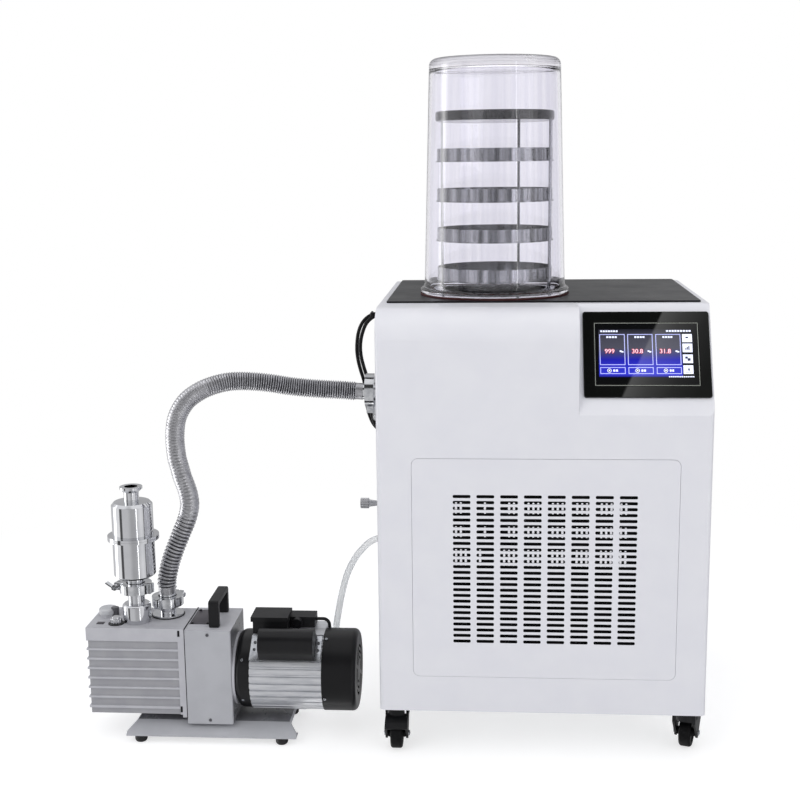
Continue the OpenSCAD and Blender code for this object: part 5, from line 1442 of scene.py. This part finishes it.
@dataclass
class Pump:
    """The oil-sealed pump with its motor, boxes, filter, handle and base.

    A plate or a bolt is given by its low and its high corner, with y from the pump's front and z from the
    face or the height that it sits at. A screw's head is given by its radius and height, a ring by radii and
    heights round it, and a stud by its x, its radius from the motor's axis and its angle round it.
    """

    # The tank.
    stopper: Point = (-483, -146)
    stopper_r: float = 7.2
    rib_depth: float = 1.6
    top_depth: float = 3.0
    top_plate: Sequence[Point] = ((-503.5, 17.5, -0.2), (-491, 28.5, 0.7))
    joint_strip: Sequence[Point] = ((-348.9, -0.2, -159.0), (-347.8, 110, 0.25))
    clamp_bolt: Sequence[Point] = ((-360, 0.6, 0), (-356, 4.5, 11))
    clamp_bolt_zs: Sequence[float] = (50.0, 185.0)
    sight_glass: Point = (-0.4, 52, 91)
    sight_window: Point = (9.0, 0.0, 1.6, 0.8)
    ballast: Point = (-470, -185)
    ballast_ring: Sequence[Point] = ((10.3, 0), (13.5, 0), (13.5, 1.2), (12.8, 1.8), (10.3, 1.8), (10.3, 0))
    inlet_ring: Sequence[Point] = (
        (20, 0), (28, 0), (28.4, 0.5), (28.4, 1.5), (27.4, 2.0), (20, 2.0), (20, 0))
    # The housing.
    cover_screw: tuple[float, float] = (-308.5, -2)
    cover_screw_zs: Sequence[float] = (38.5, 190.0)
    cover_head: tuple[float, float] = (2.7, 1.3)
    deck_plate: Sequence[Point] = ((-344.6, 24, 1.3), (-309.4, 96, 2.1))
    deck_screw_xs: Sequence[float] = (-340, -313.5)
    deck_screw_ys: Sequence[float] = (28, 92)
    deck_screw_z: float = 2.0
    deck_head: tuple[float, float] = (2.6, 1.4)
    # The motor, with the capacitor's brackets swung round it.
    spigot_x: float = -269
    spigot: Sequence[Point] = ((58, 0), (61.9, 0), (61.9, 3.6), (61.2, 4.3), (56, 4.3), (56, 0), (58, 0))
    bracket_xs: Sequence[tuple[float, float]] = ((-238.4, -221.6), (-129.0, -118.2))
    bracket_y: tuple[float, float] = (-27, 22)
    bracket_z: tuple[float, float] = (70.6, 71.8)
    bracket_turn: float = 39.0
    stud_head: tuple[float, float] = (2.5, 1.8)
    bracket_studs: Sequence[Point] = tuple((x, 71.8, turn) for x in (-231.5, -123.5) for turn in (33, 44))
    motor_studs: Sequence[Point] = (*((-252.0, 66.3, turn) for turn in (58, -58, 122, -122)),
                                    *((-112.0, 69.3, turn) for turn in (114, -114, 24, -24)))

    @staticmethod
    def from_front(corners: Iterable[Point], height: float) -> list[Point]:
        """Places points, given from the pump's front and a height in mm."""
        return [(x, y + CAD.pump_front, z + height) for x, y, z in corners]

    def tank_face(self, face: Face) -> int:
        """Tells the bottom of a groove between the tank's ribs by 1 and the tank's top by 2, for their painted
        shade, and the rest by 0.
        """
        middle = face.calc_center_median() / MM
        if face.normal.z > FACING and middle.z > CAD.tank_top - self.top_depth:
            return 2
        return int(face.normal.y < -FACING and middle.y > CAD.pump_front + self.rib_depth)

    def on_stopper(self, face: Face) -> int:
        """Tells whether a face belongs to the small ribbed stopper beside the filler cap."""
        return int((face.calc_center_median().xy - Vector(self.stopper) * MM).length < self.stopper_r * MM)

    @staticmethod
    def round_motor(bm: Mesh, made: Iterable[Vert], degrees: float) -> None:
        """Swings shapes, built over the motor's axis, round it towards the front."""
        axis = Matrix.Translation((0, CAD.pump_y * MM, CAD.motor_z * MM))
        turn = Matrix.Rotation(math.radians(degrees), 4, "X")
        bmesh.ops.transform(bm, matrix=axis @ turn, verts=list(made))

    def studs(self, bm: Mesh, places: Iterable[Point], material: int = 0) -> None:
        """Adds small cap screws round the motor."""
        for x, radius, degrees in places:
            before = set(bm.verts)
            screw(bm, (x, 0, radius), Axis.Z, *self.stud_head, material=material)
            self.round_motor(bm, set(bm.verts) - before, degrees)

    def tank(self) -> None:
        """Dresses the oil tank and adds the small plate, bolts and the oil behind the sight glass."""
        # Painted shade: the grooves between the ribs and the tank's top take darker enamel.
        refined("oil_tank", [MACHINE, GROOVE, MACHINE_TOP], 0.9, pick=self.tank_face)
        refined("filler_cap", [GREY_CAP, DARK_CAP], 0.6, pick=self.on_stopper)
        refined("ballast_knob", POLISHED, 0.5, Body.BALLAST)
        bm = bmesh.new()
        block(bm, *self.from_front(self.top_plate, CAD.tank_top), 0.3)
        finished("tank_top_plate", bm, DECK)
        bm = bmesh.new()
        block(bm, *self.from_front(self.joint_strip, CAD.tank_top), 0.1)
        for z in self.clamp_bolt_zs:
            block(bm, *self.from_front(self.clamp_bolt, z), 0.6)
        finished("tank_clamp_bolts", bm, BLACK_SCREW)
        bm = bmesh.new()
        x, y, z = self.sight_glass
        lathe(bm, rounded_end(*self.sight_window), (CAD.pump_x + x, CAD.pump_front + y, z), Axis.X, 32)
        finished("sight_glass_window", bm, OIL)
        bm = bmesh.new()
        lathe(bm, self.ballast_ring, (*self.ballast, CAD.tank_top - 0.2))
        finished("ballast_seat", bm, BLACK_SCREW)

    def housing(self) -> None:
        """Dresses the bearing housing, its cover and the handle, with screws and the deck plate."""
        # Painted shade: the housing's right side, facing +x, takes the darker enamel.
        refined("pump_housing", [MACHINE, SHADED], 1.0, pick=lambda face: int(face.normal.x > FACING))
        refine_each(("housing_cover", SHEET_ENAMEL, 0.5), ("pump_handle", MOULDED, 2.2))
        bm = bmesh.new()
        x, y = self.cover_screw
        for z in self.cover_screw_zs:
            screw(bm, (x, CAD.pump_front + y, z), Axis.Y, *self.cover_head, flip=True)
        finished("cover_screws", bm, DULL_SCREW)
        bm = bmesh.new()
        block(bm, *self.from_front(self.deck_plate, CAD.housing_top), 0.3)
        finished("deck_plate", bm, DECK)
        bm = bmesh.new()
        places = [(x, y, self.deck_screw_z) for y in self.deck_screw_ys for x in self.deck_screw_xs]
        for place in self.from_front(places, CAD.housing_top):
            screw(bm, place, Axis.Z, *self.deck_head)
        finished("deck_screws", bm, BLACK_SCREW)

    def motor(self) -> None:
        """Dresses the motor, its boxes and the capacitor's cover with its brackets."""
        refine_each(
            ("motor_end_bell", BLACK_PAINT, 0.8), ("motor_body", ALUMINIUM, 0.6), ("fan_cover", ABS, 1.0),
            ("terminal_box", MOULDED, 1.2), ("pump_rocker", ABS, 0.4, Body.PUMP_SWITCH),
            ("capacitor_cover", BLACK_PAINT, 1.0))
        bm = bmesh.new()
        for x0, x1 in self.bracket_xs:
            (y0, y1), (z0, z1) = self.bracket_y, self.bracket_z
            block(bm, (x0, y0, z0), (x1, y1, z1), 0.4)
        self.round_motor(bm, bm.verts, self.bracket_turn)
        self.studs(bm, self.bracket_studs, 1)
        finished("capacitor_brackets", bm, [ZINC, DULL_SCREW])
        bm = bmesh.new()
        self.studs(bm, self.motor_studs)
        finished("motor_screws", bm, ZINC)
        bm = bmesh.new()
        lathe(bm, self.spigot, (self.spigot_x, CAD.pump_y, CAD.motor_z), Axis.X, 96)
        finished("motor_spigot", bm, MACHINE)
        dress("motor_rotor", ZINC)

    def filter(self) -> None:
        """Dresses the filter, the adapter and the inlet."""
        refine_each(("pump_inlet", POLISHED, 0.5), ("exhaust_adapter", POLISHED, 0.7),
                    ("filter_lower", POLISHED, 0.5), ("filter_upper", POLISHED, 0.5))
        bm = bmesh.new()
        lathe(bm, self.inlet_ring, (*CAD.inlet, CAD.tank_top - 0.1), steps=64)
        finished("inlet_seal", bm, RUBBER)

    def build(self) -> None:
        """Builds the pump, from its base up."""
        # Painted shade: the base's top faces, under the machine, take the darker enamel.
        refined("pump_base", [SHEET_ENAMEL, SHADED], 0.8, pick=lambda face: int(face.normal.z > FACING))
        refined("pump_feet", RUBBER, 0.8)
        self.tank()
        self.housing()
        self.motor()
        self.filter()


# ---------------------------------------------------------------- casters


@dataclass
class Casters:
    """Four swivel casters with black nylon hoods and zinc nuts."""

    # Corner, the bodies of the fork and the wheel, the swivel's place in mm and its turn in degrees.
    corners: Sequence[tuple[str, Body, Body, float, float, float]] = (
        ("fl", Body.CASTER_FL, Body.WHEEL_FL, 9.0, -199.0, 0.0),
        ("fr", Body.CASTER_FR, Body.WHEEL_FR, 487.0, -199.0, 162.0),
        ("rl", Body.CASTER_RL, Body.WHEEL_RL, 9.0, 199.0, 180.0),
        ("rr", Body.CASTER_RR, Body.WHEEL_RR, 487.0, 199.0, 180.0))
    # How far the axle trails the swivel, its height, and where the nuts sit on its sides.
    trail: float = 15.0
    axle_z: float = 25.0
    side: float = 19.0
    nut: Sequence[Point] = (
        (0, 3.2), (2.0, 3.2), (2.3, 2.8), (2.3, 2.4), (4.4, 2.4), (5.1, 1.9), (5.1, 0.1), (0, 0.1))

    def build(self) -> None:
        """Dresses each caster and adds its nuts."""
        for name, hood, wheel, x, y, turn in self.corners:
            refined(f"caster_fork_{name}", MOULDED, 1.0, hood)
            refined(f"caster_wheel_{name}", TREAD, 0.8, wheel)
            bm = bmesh.new()
            for way in (-1, 1):
                lathe(bm, self.nut, (way * self.side, -self.trail, self.axle_z), Axis.X, 6, flip=way < 0)
            spot = Matrix.Translation((x * MM, y * MM, 0)) @ Matrix.Rotation(math.radians(turn), 4, "Z")
            bmesh.ops.transform(bm, matrix=spot, verts=bm.verts)
            finished(f"caster_nuts_{name}", bm, ZINC, hood)


def main() -> None:
    """Builds the whole scene in order."""
    studio = Studio()
    studio.camera()
    for part in (Cords(), studio, Cabinet(), Console(), Chamber(), Fittings(), Pump(), Casters()):
        LOG.info("building %s", type(part).__name__)
        part.build()
    bpy.context.view_layer.update()


if __name__ == "__main__":
    main()
